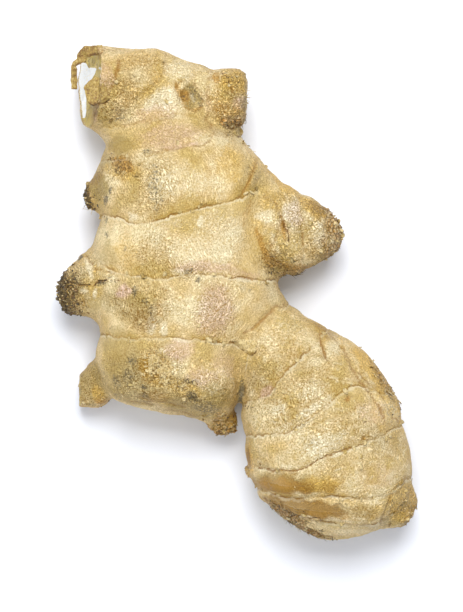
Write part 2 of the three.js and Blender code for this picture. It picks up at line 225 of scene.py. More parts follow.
@dataclass
class Limb:
    """One limb: a superellipse section carried along rows, rounded at both ends.

    At row number t and angle a the skin is the row's middle, plus cos(a)^(2/square) of its half
    width across, plus sin(a)^(2/square) of its half height up, plus the bow ahead. Both half sizes
    shrink over the first and the last row as a superellipse quarter of power blunt.
    """

    name: str
    rows: list[Row]
    square: float = 2.3
    blunt: float = 2.3
    blend: float = 4.5
    crust: float = 0.0  # height of the crust on the tip
    crust_rows: float = 1.6  # how many rows the crust reaches back
    char: float = 0.1  # how black the crust is
    scabs: float = 1.0  # how far the crust breaks into scabs
    lean: float = 1.0  # 1 where the skin climbs gently ahead of a scar, -1 behind it
    line: float = 1.0  # how strong its scars are
    tone: float = 0.0  # brown tint of the whole limb
    streak: float = 0.0  # how far its grain runs along it
    mottle: float = 0.6  # how strong its patches are
    margin: float = 7.0  # how far round its edges points are looked up
    searches: int = 7  # how many times Newton's method mends the row of a point
    nudge: float = 0.02  # of a row, to find how fast rows follow each other

    def __post_init__(self) -> None:
        """Stacks the rows as numbers."""
        self.table = np.array([[*r.left, *r.right, *r.heights, *r.bow] for r in self.rows])
        self.last = len(self.rows) - 1
        self.scars = [k for k, r in enumerate(self.rows) if r.scar]
        edges = np.vstack([self.table[:, :2], self.table[:, 2:4]])
        self.low, self.high = edges.min(0) - self.margin, edges.max(0) + self.margin

    def _rails(self, at: Array) -> tuple[Array, Array, Array, Array, Array, Array]:
        """Middle, half width, ahead, middle height, half height and bow of the rows."""
        numbers = catmull(self.table, at)
        left, right = numbers[:, :2], numbers[:, 2:4]
        half = (right - left) / 2
        ahead = np.stack([-half[:, 1], half[:, 0]], 1) / np.linalg.norm(half, axis=1)[:, None]
        low, high = numbers[:, 4], numbers[:, 5]
        return (left + right) / 2, half, ahead, (low + high) / 2, (high - low) / 2, numbers[:, 6:]

    @staticmethod
    def _bow(bow: Array, across: Array) -> Array:
        """The bow at a place across: the Catmull-Rom curve through 0, the three values and 0."""
        knots = np.pad(bow, ((0, 0), (2, 2)))
        place = (np.clip(across, -1, 1) + 1) * 2
        first = np.minimum(place.astype(int), 3)
        share = place - first
        p0, p1, p2, p3 = (np.take_along_axis(knots, (first + k)[:, None], 1)[:, 0] for k in range(4))
        leave, arrive = (p2 - p0) / 2, (p3 - p1) / 2
        cube = 2 * p1 - 2 * p2 + leave + arrive
        return ((cube * share + 3 * (p2 - p1) - 2 * leave - arrive) * share + leave) * share + p1

    def _full(self, at: Array) -> Array:
        """The share of full size at a row number: 1 but for the two rounded ends."""
        ends = (np.clip(at, 0, 1), np.clip(self.last - at, 0, 1))
        shares = ((1 - (1 - end) ** self.blunt) ** (1 / self.blunt) for end in ends)
        return np.prod(list(shares), axis=0)

    def skin(self, step: float) -> tuple[Array, Array, Array]:
        """The limb's closed skin as a grid of rows and angles.

        Args:
            step: Wanted spacing of the grid in mm.

        Returns:
            (n, 3) points, (m, 4) faces and (k, 3) faces of the two ends.
        """
        path = np.linalg.norm(np.diff((self.table[:, :2] + self.table[:, 2:4]) / 2, axis=0), axis=1)
        rings = int(path.sum() / step) + 24
        ease = (1 - np.cos(np.linspace(0, math.pi, rings))) / 2
        linear = np.linspace(0, 1, rings)
        at = np.clip((0.35 * ease + 0.65 * linear) * self.last, 1e-4, self.last - 1e-4)
        girth = math.pi * np.abs(self.table[:, 2:4] - self.table[:, :2]).sum(1).max()
        around = int(girth / step / 1.3)
        angle = np.arange(around) * 2 * math.pi / around
        t, a = (grid.ravel() for grid in np.meshgrid(at, angle, indexing="ij"))
        middle, half, ahead, height, rise, bow = self._rails(t)
        full = self._full(t)
        across = np.sign(np.cos(a)) * np.abs(np.cos(a)) ** (2 / self.square) * full
        up = np.sign(np.sin(a)) * np.abs(np.sin(a)) ** (2 / self.square) * full
        flat = middle + half * across[:, None] + ahead * self._bow(bow, across)[:, None]
        points = np.column_stack([flat, height + rise * up])
        index = np.arange(rings * around).reshape(rings, around)
        side = np.roll(index, -1, 1)
        faces = np.stack([index[:-1], index[1:], side[1:], side[:-1]], -1).reshape(-1, 4)
        ends = np.stack([index[0], index[-1][::-1]])
        caps = np.concatenate([ends[:, [0, k, k + 1]] for k in range(1, around - 1)])
        return points, faces, caps

    def locate(self, points: Array) -> Placement:
        """Finds the row through each point by Newton's method, from the nearest of many rows.

        Args:
            points: (n, 3) array.

        Returns:
            The points' places in the limb's coordinates; those far from it get the gap FAR.
        """
        near = ((points[:, :2] > self.low) & (points[:, :2] < self.high)).all(1)
        found = self._located(points[near])
        whole = Placement(*(np.zeros(len(points)) for _ in range(4)))
        whole.gap += FAR
        whole.spacing += 1
        for name, values in found.__dict__.items():
            getattr(whole, name)[near] = values
        return whole

    def _located(self, points: Array) -> Placement:
        """The places of points near the limb, as `locate` gives them."""
        flat, z = points[:, :2], points[:, 2]
        nudge = self.nudge
        tries = np.linspace(0, self.last, 5 * self.last + 1)
        middle, half, ahead = self._rails(tries)[:3]
        away = flat[:, None] - middle[None]
        width = np.linalg.norm(half, axis=1)
        beside = np.abs((away * half).sum(2) / width)
        miss = np.abs((away * ahead).sum(2)) + np.maximum(0, beside - 1.15 * width) * 3
        at = tries[miss.argmin(1)]
        for _ in range(self.searches):
            off = self._off(flat, at)
            slope = (self._off(flat, at + nudge) - off) / nudge
            at = np.clip(at - np.clip(off / np.minimum(slope, -0.8), -0.5, 0.5), 0, self.last)
        middle, half, ahead, height, rise = self._rails(at)[:5]
        away = flat - middle
        wide = np.linalg.norm(half, axis=1)
        across = (away * half).sum(1) / wide**2
        up = (z - height) / rise
        power = self.square
        size = (np.abs(across) ** power + np.abs(up) ** power + 1e-9) ** (1 / power)
        full = np.maximum(self._full(at), 0.05)
        beyond = np.abs(self._off(flat, at))
        gap = (size / full - 1) * np.minimum(wide, rise) * full + beyond
        spacing = np.maximum(-(self._off(flat, at + nudge) - self._off(flat, at)) / nudge, 0.8)
        around = np.arctan2(up, across) * (wide + rise) / 2
        return Placement(at, gap, spacing, around)

    def _off(self, flat: Array, at: Array) -> Array:
        """How far ahead of row `at` each point lies, in mm."""
        middle, half, ahead, _, _, bow = self._rails(at)
        away = flat - middle
        across = (away * half).sum(1) / (half**2).sum(1)
        return (away * ahead).sum(1) - self._bow(bow, across)

    def scar_distance(self, place: Placement) -> Array:
        """Signed mm ahead of the nearest scar, or BEYOND where the limb has none."""
        if not self.scars:
            return np.full(len(place.row), BEYOND)
        ahead = (place.row[:, None] - np.array(self.scars)) * place.spacing[:, None]
        return np.take_along_axis(ahead, np.abs(ahead).argmin(1)[:, None], 1)[:, 0]

    def swell(self, place: Placement) -> Array:
        """0 at the scars and ends, 1 halfway between two of them: half a sine wave."""
        stops = np.array([0, *self.scars, self.last], float)
        step = np.clip(np.searchsorted(stops, place.row, "right"), 1, len(stops) - 1)
        share = (place.row - stops[step - 1]) / (stops[step] - stops[step - 1])
        return np.sin(math.pi * np.clip(share, 0, 1))


def scar(*numbers: tuple) -> Row:
    """A row that a ring scar follows."""
    return Row(*numbers, scar=True)


TRUNK = Limb(
    "trunk",
    [
        Row((-24.1, -29.3), (-7.1, -30.6), (8, 20)),
        Row((-31.9, -24.2), (0.2, -26.4), (1.5, 27)),
        Row((-34.6, -15.9), (1.7, -19.4), (-0.8, 29.5)),
        scar((-34, -9.7), (5.4, -13.2), (-0.3, 30), (-0.4, 0.8, 0.6)),
        Row((-34.9, -1.4), (11.2, -2.9), (0.6, 30.5), (-1, -0.3, 0.4)),
        scar((-36.3, 8.1), (10.1, 3.1), (0.8, 30.5), (-2.1, -1.2, 0.2)),
        Row((-34.8, 14.1), (5.9, 14.9), (0.8, 30.5), (-3, -1.6, -0.8)),
        scar((-33.7, 19.6), (6.9, 26.1), (0.8, 30.5), (-3.8, -2.1, -1.9)),
        Row((-35.2, 27.6), (6.9, 31.1), (0.8, 29.5), (-1.5, -0.8, 0)),
        scar((-33.9, 33.4), (2.7, 37.1), (0.5, 28), (-0.4, 0.8, 3)),
        Row((-32.2, 37.6), (0, 40.1), (0, 26.5), (0, 0.4, 1.5)),
        scar((-35.1, 41.9), (-3.1, 43.1), (-0.7, 26), (-0.3, 1.1, 1.5)),
        Row((-34.1, 53.1), (-6.8, 55), (0, 25.5)),
        Row((-31.1, 60.9), (-13.6, 59.6), (6, 20)),
    ],
    square=2.5, blunt=2.8, lean=-1, streak=0.9, mottle=0.2,
)
HEEL = Limb(
    "heel",
    [
        Row((-3.6, -13.4), (-11.6, -13.4), (8, 22)),
        Row((0.9, -19.9), (-16.1, -20.4), (2, 30.5)),
        Row((0.2, -26.4), (-14.1, -27.4), (2.5, 27)),
        Row((-3.1, -32.4), (-9.1, -32.9), (9, 17)),
    ],
    square=2.2, blunt=2.2,
)
CROWN = Limb(
    "crown",
    [
        Row((-24.1, 43.6), (-12.8, 54.9), (7, 21)),
        scar((-31.6, 42.1), (-17.6, 60.9), (3, 27), (-1.5, -2.7, -3.6)),
        Row((-35, 40.9), (-28.6, 61), (3.5, 27)),
        Row((-37.7, 43.1), (-34.8, 61.7), (4.5, 26)),
        Row((-38.6, 47.4), (-38.6, 60.6), (5.5, 24.5)),
        Row((-41.6, 49.1), (-41.6, 58.6), (8, 21)),
    ],
    square=2.5, blunt=2.8, blend=3, line=0.0, tone=0.05, streak=0.7, mottle=0.4,
)
KNOB = Limb(
    "knob",
    [
        Row((-11.1, 55.6), (-11.1, 42.4), (9, 22)),
        scar((-7.1, 56.2), (-6.6, 41.1), (7.5, 24.5)),
        Row((0.4, 56), (-0.1, 41), (8, 24)),
        Row((2.8, 53.1), (2.6, 43.6), (11, 21)),
    ],
    square=2.6, blunt=3.6, blend=3.4, crust=0.22, crust_rows=1.2, scabs=0.25, line=0.0,
)
FINGER = Limb(
    "finger",
    [
        Row((-0.3, 30.6), (0.9, 8.6), (6, 22)),
        Row((6.4, 32.1), (6.4, 5.9), (4.5, 23.5)),
        scar((11.2, 28.1), (12.9, 4.8), (4, 23), (0, -0.3, 0)),
        scar((16.2, 24.9), (16.9, 6.1), (4.2, 21.5), (0, -0.3, 0)),
        scar((21.4, 22.2), (23.9, 10.2), (5, 19.5)),
        Row((26.6, 18.1), (26.8, 13.1), (9, 15)),
    ],
    square=2.2, blunt=2.2, crust=0.4, crust_rows=1.7, char=0.05, line=0.15, mottle=0.7,
)
LOBE = Limb(
    "lobe",
    [
        Row((8.9, -1.4), (-1.1, -14.4), (6, 21)),
        scar((13.4, -2.4), (1.2, -19.4), (2.5, 26), (-3.3, -3.6, -1.6)),
        Row((17.7, -6.2), (1.2, -23.4), (1.6, 28.2), (-1, -1, 0.5)),
        scar((22.7, -8.6), (1.7, -27.2), (1, 30), (0.8, 1.1, 2.1)),
        Row((31.4, -14.4), (1.8, -30.9), (0.2, 32), (-1.5, 0, 1.8)),
        scar((39.2, -24.2), (2.4, -35.4), (-0.6, 33.2), (-4.2, -1.2, 1.5)),
        scar((41.4, -32.4), (3.4, -42.9), (-0.9, 33.6), (1.4, 1.8, 3.4)),
        scar((43.9, -45.9), (5.2, -48.2), (0.3, 31), (3.6, 3, 2.8)),
        scar((40.4, -54.9), (7.9, -52.3), (2.8, 26.5), (2.7, 3, 2.1)),
        Row((28.9, -61.7), (19.9, -61.7), (9, 17)),
    ],
    square=2.3, blunt=2.2, streak=0.5, line=0.9, mottle=0.75,
)
UPPER_BUD = Limb(
    "upper_bud",
    [
        Row((-30.6, 22.1), (-31.1, 29.1), (11, 20)),
        Row((-33.6, 21.6), (-34.6, 29.4), (10, 20.5)),
        Row((-36.1, 21.7), (-36.6, 27.6), (10.5, 18.5)),
        Row((-38.3, 23.1), (-38.3, 25.9), (12.5, 16)),
    ],
    square=2.1, blunt=2.1, blend=1.6, crust=0.6, crust_rows=1.5, char=0.75, tone=0.7,
)
SIDE_BUD = Limb(
    "side_bud",
    [
        Row((-29.1, -5.9), (-30.3, 8.1), (6, 22)),
        Row((-34.6, -5.7), (-36.8, 10.4), (4, 23)),
        Row((-39.1, -5), (-40, 7.9), (4.5, 20.5)),
        Row((-42.6, -3.7), (-43.2, 4.4), (6.5, 17.5)),
        Row((-44.9, -1.2), (-44.9, 1.9), (10, 14)),
    ],
    square=2.1, blunt=2.3, blend=2.4, crust=0.8, crust_rows=3.3, char=0.8, tone=0.35,
)
STUB = Limb(
    "stub",
    [
        Row((-29.1, -25.9), (-32.1, -16.9), (3, 15)),
        Row((-31.8, -25.7), (-35.6, -16.7), (1.8, 15)),
        Row((-33.8, -27.7), (-37.6, -19.2), (1.6, 13.5)),
        Row((-37.3, -28.0), (-39.0, -20.3), (2, 12)),
        Row((-43.1, -28.0), (-43.6, -22.8), (3, 10)),
    ],
    square=2.8, blunt=2.5, blend=1.2, tone=0.5, streak=0.9,
)
FOOT_NUB = Limb(
    "foot_nub",
    [
        Row((-0.1, -26.9), (-7.1, -26.9), (3, 14)),
        Row((-0.2, -30.9), (-7.6, -31.4), (2.5, 13.5)),
        Row((-0.3, -33.4), (-5.6, -34.2), (3.5, 12)),
        Row((-1.3, -35.4), (-3.6, -35.2), (6, 9.5)),
    ],
    square=2.1, blunt=2.1, blend=1.8, crust=0.6, crust_rows=2.4, char=0.2, tone=0.9,
)
TIP_BUD = Limb(
    "tip_bud",
    [
        Row((38.9, -44.9), (32.4, -54.4), (5, 21)),
        Row((43.7, -47.7), (36.7, -57.7), (4, 20.5)),
        Row((45.1, -51.7), (41.4, -57.8), (5, 17.5)),
        Row((44.9, -53.4), (43.4, -56.7), (8.5, 13.5)),
    ],
    square=2.3, blunt=2.4, blend=2, crust=0.3, crust_rows=2.4, char=0.03, scabs=0.6, tone=0.1,
)
ROOT_NUB = Limb(
    "root_nub",
    [
        Row((5.4, -46.4), (4.9, -42.2), (9, 14.5)),
        Row((3.3, -45.7), (2.9, -42.7), (9.5, 14)),
        Row((2.1, -44.7), (2.1, -43.4), (10.8, 12.8)),
    ],
    square=2.0, blunt=2.0, blend=1, crust=0.3, tone=0.9,
)
LIMBS = [
    TRUNK, HEEL, CROWN, KNOB, FINGER, LOBE, UPPER_BUD, SIDE_BUD, STUB, FOOT_NUB, TIP_BUD, ROOT_NUB,
]


@dataclass(frozen=True)
class Tear:
    """A broken end: a plane through a point, dished and rough, past which the flesh is gone."""

    limb: str
    point: tuple[float, float, float]
    normal: tuple[float, float, float]
    radius: float
    dish: float = 0.9
    rough: float = 0.7
    rim: float = 0.7  # how far the skin stands up round it


TEARS = [
    Tear("crown", (-36.6, 54, 15), (-1, 0.08, 0.29), 9),
    Tear("stub", (-39.2, -24, 7), (-0.996, 0, 0.087), 5, dish=0.4, rough=0.3, rim=0.3),
]

# The outline, seen from above, of the white flesh on the crown's broken end
FLESH = [
    (-40.5, 59.2), (-38.1, 58.6), (-37.1, 56.9), (-34.7, 56.4), (-35.2, 55.4), (-36.9, 52.7), (-38.0, 51.4),
    (-37.6, 49.1), (-37.6, 45.6), (-37.8, 44.2), (-41.0, 43.4),
]
UNDERSIDE = 7.0  # height under which the broken end is all flesh


class Stain(Enum):
    """What a mark adds to the skin."""

    PINK = "pink"
    GREY = "grey"
    AMBER = "amber"
    BROWN = "brown"
    PALE_AND_HIGHLIGHT = "pale"
    TAN = "tan"
    ROUGH = "rough"
    SMOOTH = "smooth"
    BARE = "bare"
    GOLD = "gold"
    SCABS = "scabs"


@dataclass(frozen=True)
class Mark:
    """A soft oval on the upper skin: middle, radii, strength and turn in degrees."""

    x: float
    y: float
    wide: float
    high: float
    strength: float
    turn: float = 0.0


# Each row is a mark's numbers, in the order of its fields
MARKS = {
    stain: [Mark(*row) for row in rows]
    for stain, rows in {
        Stain.PINK: [
            (-31.8, 54, 1.8, 3.6, 0.5), (-19.8, 45, 6.5, 2.4, 0.45, 8), (-16.8, 39.3, 8.5, 3.6, 0.5, 8),
            (-14, 36.8, 6.5, 0.8, 0.6, 6), (-5.3, -3.9, 5.4, 7.4, 0.6, -12), (-7.8, 6.6, 9, 1.8, 0.6),
            (1.5, 4.6, 5, 1.4, 0.5), (-27.6, 0.6, 1.8, 1.9, 0.8), (-14.1, -13.9, 4, 3.2, 0.6),
            (-8.6, -20.4, 4.4, 2.6, 0.5), (-3.4, -17, 3, 4, 0.4), (7.6, -24, 1.3, 2.6, 0.8, -35),
            (14.2, 19.4, 2.2, 3.6, 0.5, 15), (33.4, -29.6, 4.6, 3.4, 0.4), (34.5, -45, 6.5, 3.5, 0.3),
            (-33.2, 53.4, 0.9, 4, 0.5, 5), (-34.6, 44.2, 1.2, 1.6, 0.6, -20), (0.6, 47.4, 2.2, 2, 0.5),
            (-7, 47.6, 1.8, 3.4, 0.3),
        ],
        Stain.GREY: [
            (-22.1, 35, 1.2, 1, 0.5, 20), (-20.3, 27.4, 1.6, 5, 0.4), (-19.2, 22.4, 1.6, 3, 0.35),
            (-29, 43.4, 1.6, 0.4, 0.7, 10), (-32.1, 23.5, 0.6, 1, 1, -15), (-31, 25.6, 0.4, 1.2, 0.8, -15),
            (-31.9, 14.8, 0.5, 0.9, 0.7), (-32.4, 18.6, 0.5, 1, 0.6), (-9.3, 3.4, 0.6, 0.7, 1),
            (-11.6, 5.7, 1.2, 0.7, 0.8, 20), (-25.1, 0.6, 0.7, 1.4, 0.8, -10),
            (-22.5, -1.6, 1, 0.7, 0.6, -30), (-21, -4.4, 0.8, 2, 0.4), (-26.6, -20.2, 1.4, 2.3, 0.5),
            (-20.6, -20, 1, 1.6, 0.5), (-25.4, -16.4, 1.6, 1.6, 0.5), (-29.6, -21.4, 1, 2, 0.45),
            (-8, -28, 3, 1.4, 0.5, -20), (-17.4, -22, 1.6, 0.8, 0.5), (-22.9, -22.9, 0.9, 0.5, 0.9, -25),
            (-22.6, -24.8, 1, 0.8, 0.5), (-11.4, -21.5, 2, 0.8, 0.8), (-10.6, -25.3, 2, 1, 0.8, -32),
            (-13.8, -22.9, 0.5, 0.9, 1, 35), (-6.6, -28.2, 2.8, 1.7, 0.45, -20),
            # The mark at (1.2, -25.4) is painted shadow in the deep cleft between the heel and the lobe
            (1.2, -25.4, 1, 4.4, 1.05, -8), (-10.2, 49.4, 1.2, 3.2, 0.36, 36),
            (-12.6, 48.8, 0.9, 1.1, 0.4, 15), (-8.9, 47, 0.5, 1.8, 0.5, -10),
            (-0.4, 53, 2.4, 1.8, 0.35, -40), (-34.2, 50, 1.3, 1.2, 0.5, -30), (38, -25, 0.6, 2.2, 0.6, 30),
            (-40.4, 2.6, 2, 3.2, 0.5), (-33.6, 2.9, 1.5, 0.5, 0.8, 8), (-38.8, 8.9, 1, 0.5, 1.3, 42),
        ],
        Stain.AMBER: [
            (16.5, -52.8, 11, 2.3, 1.4, -6), (11.5, -51.2, 5, 1.6, 1, -10), (22.4, -47.6, 2.6, 1.6, 0.5),
            (12, -47.2, 8, 2.4, 1, -4), (30, -53.4, 7, 1.6, 0.45, -4), (3.4, -41, 0.7, 3, 1, 6),
            (-29, 7.6, 5.5, 1.5, 0.25, -8), (-27, 12, 2.4, 5, 0.2), (-22.8, -6.4, 4, 3.6, 0.5),
            (-21, -18.6, 3.6, 4, 0.6), (-20, -25.4, 5, 1.8, 0.55, -8), (-31.4, 60.2, 4, 0.8, 0.4, 8),
            (21, 20.6, 5, 1.8, 0.6, -25), (22, -9.4, 1.4, 4.4, 0.5, 50), (-35.2, 57.3, 1.3, 1.2, 0.9),
            (4.4, 3.4, 3.4, 1.4, 0.3), (6.6, -7, 1.6, 5, 0.45, -42), (-34.2, 29.5, 1.6, 3.6, 0.5, -30),
            (36, -36, 6, 6, 0.35), (11, -44.6, 5, 2, 0.5, -4), (5, -2, 4, 6, 0.25, -20),
            (0, 50, 4, 5, 0.35), (-4.6, 45, 2.4, 2.4, 0.4), (22, 12, 5, 4, 0.35), (-24, 57.6, 6, 2, 0.4, 6),
            (-37.4, 56.4, 1, 1.4, 0.6),
        ],
        Stain.BROWN: [
            (-28.2, 32.3, 3.4, 1.8, 1.1, -28), (-26.2, 31, 1.2, 1.4, 0.9), (-34, 50.3, 2.6, 2.2, 0.7, -35),
            (-36, 60, 3.4, 1.4, 0.8, 8), (-37.4, 46.2, 2, 3.4, 1), (-35.8, 43.4, 0.8, 1.4, 1, 35),
            (-29.4, 55.2, 0.8, 2.8, 0.6, -12), (-27.4, 50.4, 3.4, 3.6, 0.35, -45), (-24, 56, 5, 3.4, 0.2),
            (-5.3, 53.6, 1.3, 1.7, 0.8), (-6, 47.4, 1.8, 2.8, 0.35), (-1.6, 43, 2, 1.5, 1),
            (-1.8, 45.4, 4, 2.6, 0.6), (-3.2, 46.2, 2, 1.2, 0.5), (1.8, 44.6, 1, 2.2, 0.7),
            (-12.9, 49.3, 1.5, 2, 1, 20), (-9.6, 45.9, 1.6, 0.5, 0.7, 20), (-14.7, 51.2, 0.5, 1.8, 0.9, 25),
            (-12.4, 46.6, 1.8, 0.7, 0.5, -40), (11.7, 16.4, 0.6, 3.4, 0.9, 12),
            # The mark at (6.4, 11.9) is painted shade in the fold at the finger's base
            (6.4, 11.9, 1, 4.8, 0.9, 22), (14, 7, 6, 1.3, 0.8, -4), (3.2, 28.6, 0.6, 6, 0.6, -18),
            (8.9, 8.4, 3, 1.8, 0.9, -10), (8, 12, 1.6, 2.6, 0.4), (16.4, 14, 0.4, 3.4, 0.5),
            (-19.2, -3.8, 1.1, 2, 0.45), (27.4, -25.6, 0.8, 0.8, 1), (31.5, -35.6, 0.7, 0.7, 0.9),
            (21.5, -13.6, 0.5, 2.6, 0.8, 12), (10, -46.6, 5, 1.7, 0.5), (24, -54.6, 8, 1.4, 0.4, -4),
            (14.6, -56.8, 5.5, 0.9, 0.7, -32), (8.4, -53.4, 3.4, 0.9, 0.8, -38),
            (-34, -26.4, 1.5, 0.9, 0.8, 10), (-39, -1.4, 2, 3, 0.4), (43, -51.4, 3, 4.4, 0.3),
            (44.6, -54, 1.4, 1.6, 0.6), (41, -22, 1, 7, 0.4, 34), (2.6, 20.6, 0.8, 5, 0.4, -16),
        ],
        # Pale patches of skin, and painted highlights: the glints and lit facets on the lobe, the side bud
        # and the finger
        Stain.PALE_AND_HIGHLIGHT: [
            (21.6, -55.2, 9, 0.5, 0.7, -6), (30, -58.6, 6, 0.6, 0.5), (-18.6, 48.4, 5, 2.6, 0.75, 35),
            (-18, 31, 5, 3.6, 0.35), (-13, 30.5, 4, 3.6, 0.3), (12.2, -9.6, 5.6, 4, 0.35, 38),
            (10.4, -28.2, 2.4, 1, 0.8, 38), (18.2, -28.6, 4.4, 1.2, 0.85, 32),
            (24.6, -39.4, 1.5, 0.7, 1, 30), (25, -43.1, 1.5, 0.4, 0.7, 15), (16, -37, 6, 1.8, 0.4, 22),
            (24.2, -12.2, 1.7, 3, 0.75, 18), (-25.6, 19.2, 1.5, 1.8, 0.7), (-8.8, 18.1, 0.6, 1.5, 1.6, -8),
            (-14, 28, 8, 5, 0.5), (-17, 13, 9, 3.5, 0.25), (-4, 15, 8, 7, 0.45), (-6, -21, 5, 4, 0.4),
            (-14, 55.6, 3.4, 4.4, 0.6, -20), (-9, 56.6, 4, 1.6, 0.4, -12), (3.4, 9.6, 3.6, 4.6, 0.3),
            (15.6, 15.6, 5, 6, 0.35), (0.6, 47.4, 3, 5, 0.35), (42.4, -52, 2.6, 3.4, 0.35),
            (18, -23.6, 5, 2.4, 0.45, 30), (22, -37, 7, 3, 0.8, 22), (37.2, -30, 3, 5, 0.55, 15),
            (20.6, 15.4, 2.4, 4, 0.7), (24.4, 13, 1.6, 2.6, 0.8), (14.6, -34, 6, 2, 0.4, 24),
            (-16.5, 17, 5, 2, 0.4, 12), (-13.6, 5.6, 2.6, 1.1, 0.8), (-21.1, -7.8, 1.5, 2.4, 0.9),
            (-17.8, -8.6, 1.2, 2, 0.8), (-18.4, -14.1, 1, 0.7, 1, -30), (-13.6, -11.6, 2, 0.8, 0.8, -15),
            (-36.4, 6.3, 0.9, 3, 0.8, 14), (-34.8, 0.3, 0.6, 1.3, 0.9), (-37.4, 0.7, 1.5, 0.9, 0.6),
            (-33.4, 55.2, 0.5, 3.6, 0.9), (13.6, 19.6, 2, 3.6, 0.8, 15), (6.8, 19.2, 2.2, 1.8, 0.7),
            (9.4, 13.8, 1.4, 2.2, 0.5, 20), (-4, 26, 3, 5, 0.3), (-9, 10.5, 9, 4.5, 0.5, 6),
            (-9, -4, 9, 5, 0.3), (13, -33, 8, 1.6, 0.6, 24), (22, -27, 3, 2, 0.6, 30),
            (38.6, -29.6, 0.7, 3, 0.5, 18), (-9.6, 48.2, 0.6, 2.2, 0.2, 30),
            (-10.9, 48.7, 0.45, 1.6, 0.6, 25), (12.6, -42.6, 4, 0.8, 0.5, 4), (16, -48.9, 5, 0.6, 0.6),
        ],
        Stain.TAN: [
            (-28.8, 36.9, 3.4, 3, 1), (-24.4, 54, 7.4, 5.4, 0.45, 30), (-19, 56.6, 1.6, 4, 0.6, 8),
            (-22.6, 50.4, 4.6, 1.6, 0.6, 42), (1.6, 28, 4, 6, 0.55), (-31.5, 10, 3, 4, 0.6),
            (-32.5, 33, 1.5, 4, 0.7), (-29, -12, 4.4, 4.4, 0.8), (-26, -23, 8, 5, 0.8, -12),
            (-12, -27, 8, 3.4, 0.8, -12), (-27, -18, 6, 7, 0.9), (-24.5, -4, 6, 5, 0.6),
            (-30.6, -1.4, 3, 3.4, 0.6), (-16, -24, 9, 4.5, 0.6, -12), (-6, -26, 7, 4, 0.6, -12),
            (-36.2, -22, 4, 6, 0.8), (13.5, -46.8, 11.5, 2.8, 1, -4), (30, -53.2, 7, 1.6, 0.6, -4),
            (9, -40, 5, 3.4, 0.35), (4.6, 6.4, 4, 3, 0.2), (9.4, 22.8, 3.6, 3.6, 0.55),
            (-26.4, 24.4, 3.6, 4.4, 0.45), (-17, 39.4, 8, 2.6, 0.25, 6), (0, 50, 4.6, 5.6, 0.6),
            (22.4, 10, 4.4, 3, 0.3), (-36.6, 0.5, 5, 7, 0.7), (5.6, -20.4, 4, 5, 0.5, -30),
            (-34.1, 26.9, 2.4, 3.4, 1.3), (-11.4, 49, 2.5, 3.7, 1, 36), (-30, -19, 3, 8, 0.7),
            (36.6, -57, 4, 1.6, 0.5, 20), (18, -58.6, 8, 1.4, 0.6, -24), (44, -36, 1.6, 9, 0.6, 8),
            (-33.4, 45.4, 2.4, 2.4, 0.6),
        ],
        Stain.ROUGH: [
            (-38.4, -23.6, 5, 4.6, 0.8), (14, -24, 12, 12, 0.5), (26, -36, 12, 10, 0.4),
            (16, 20, 6, 6, 0.5), (-23, -2.5, 7, 5.5, 1), (-18.4, -17.5, 4.6, 5, 1, 20),
            (-24, -22, 6, 4, 0.8), (-9, -24, 7, 4, 0.8), (-13.5, 5.6, 6, 1.8, 1), (-20, 26, 5, 9, 0.5),
            (-27.8, 31.7, 3.4, 2.6, 1), (23, 15, 5.5, 8, 1), (9.5, 9, 5, 3.5, 1), (-1, 49, 4.5, 7, 0.8),
            (-31, 48.5, 7, 5, 0.9), (16, -29, 8, 4, 0.8, 30), (12, -57, 9, 2.4, 1, -33),
            (41.5, -52, 4, 5, 0.9), (37.5, -23, 2, 9, 0.8, 34), (-41, 1.5, 4, 6.5, 1),
            (-20, 9.4, 5, 6, 0.5), (-5, -4, 5, 7, 0.7),
        ],
        Stain.SMOOTH: [
            (-28.8, 36.9, 3.2, 2.8, 1), (-31, 11, 3.4, 5, 0.9), (-30, -10, 4.6, 6, 0.8), (1, 24, 4, 9, 0.6),
            (4.6, 7, 3, 8, 0.8), (9.6, -47, 6, 2, 1), (17, -53.4, 8, 1.6, 0.8), (34, -42, 8, 6, 0.5),
            (35, -30, 4, 5, 0.5), (-34, -3.4, 3.4, 1.6, 0.9), (5, -4, 5, 5, 0.5),
        ],
        Stain.GOLD: [
            (-19.4, 55.6, 2, 4.6, 0.5), (-23, 50.4, 4.4, 2.2, 0.5, 42), (-24.6, 58.4, 8, 2, 0.45, 6),
            (-0.6, 52.4, 4, 3.4, 0.9), (-4.8, 50, 2, 6, 0.5), (-14.8, 52.6, 1.2, 2.2, 0.5),
            (-34.6, 34, 1.6, 4.6, 0.9, -25), (-28, 30.8, 5, 3, 0.7, -10), (11.5, 28, 6.5, 1.9, 0.9, -45),
            (18.5, 21.6, 6.5, 1.7, 1, -37), (24.8, 17, 2, 4, 0.7, 20), (20, 12, 5, 3, 0.4),
            (3.6, 30, 1, 6, 0.5, -20), (4.4, 14, 3.6, 8, 0.55, 12), (-1.6, 32, 3.6, 6, 0.6),
            (4.4, 10, 3.4, 5, 0.5), (1, 24, 4, 5, 0.4), (35.4, -20.8, 2.8, 11, 1.3, 40),
            (39.4, -27.6, 2.8, 8, 1.2, 24), (43, -38, 1.2, 6, 0.7, 8), (20.5, -46.8, 6, 2.2, 0.9, 4),
            (24, -50.8, 7, 1.4, 0.6, -3), (42, -51.6, 4.6, 5, 1.2), (37.2, -30, 4, 6, 0.8, 15),
            (9.4, 22.8, 4, 4, 0.6), (34, -54, 4, 2, 0.6, 10), (3.6, -41.4, 1.2, 5, 0.9, 6),
            (9, -34, 4, 6, 0.4, 20), (14, -56.4, 10, 2.2, 0.9, -31), (-27, 11, 3, 6, 0.5),
            (-32.6, 6.2, 5, 1.4, 0.6, -10), (-38, -2.6, 3, 2.6, 0.3), (-34.4, 3, 3, 5, 0.5),
            (-37.6, 57.2, 2, 3, 0.6), (-20, -18, 4, 4.4, 0.8), (-13, -23, 6, 2.4, 0.6, -14),
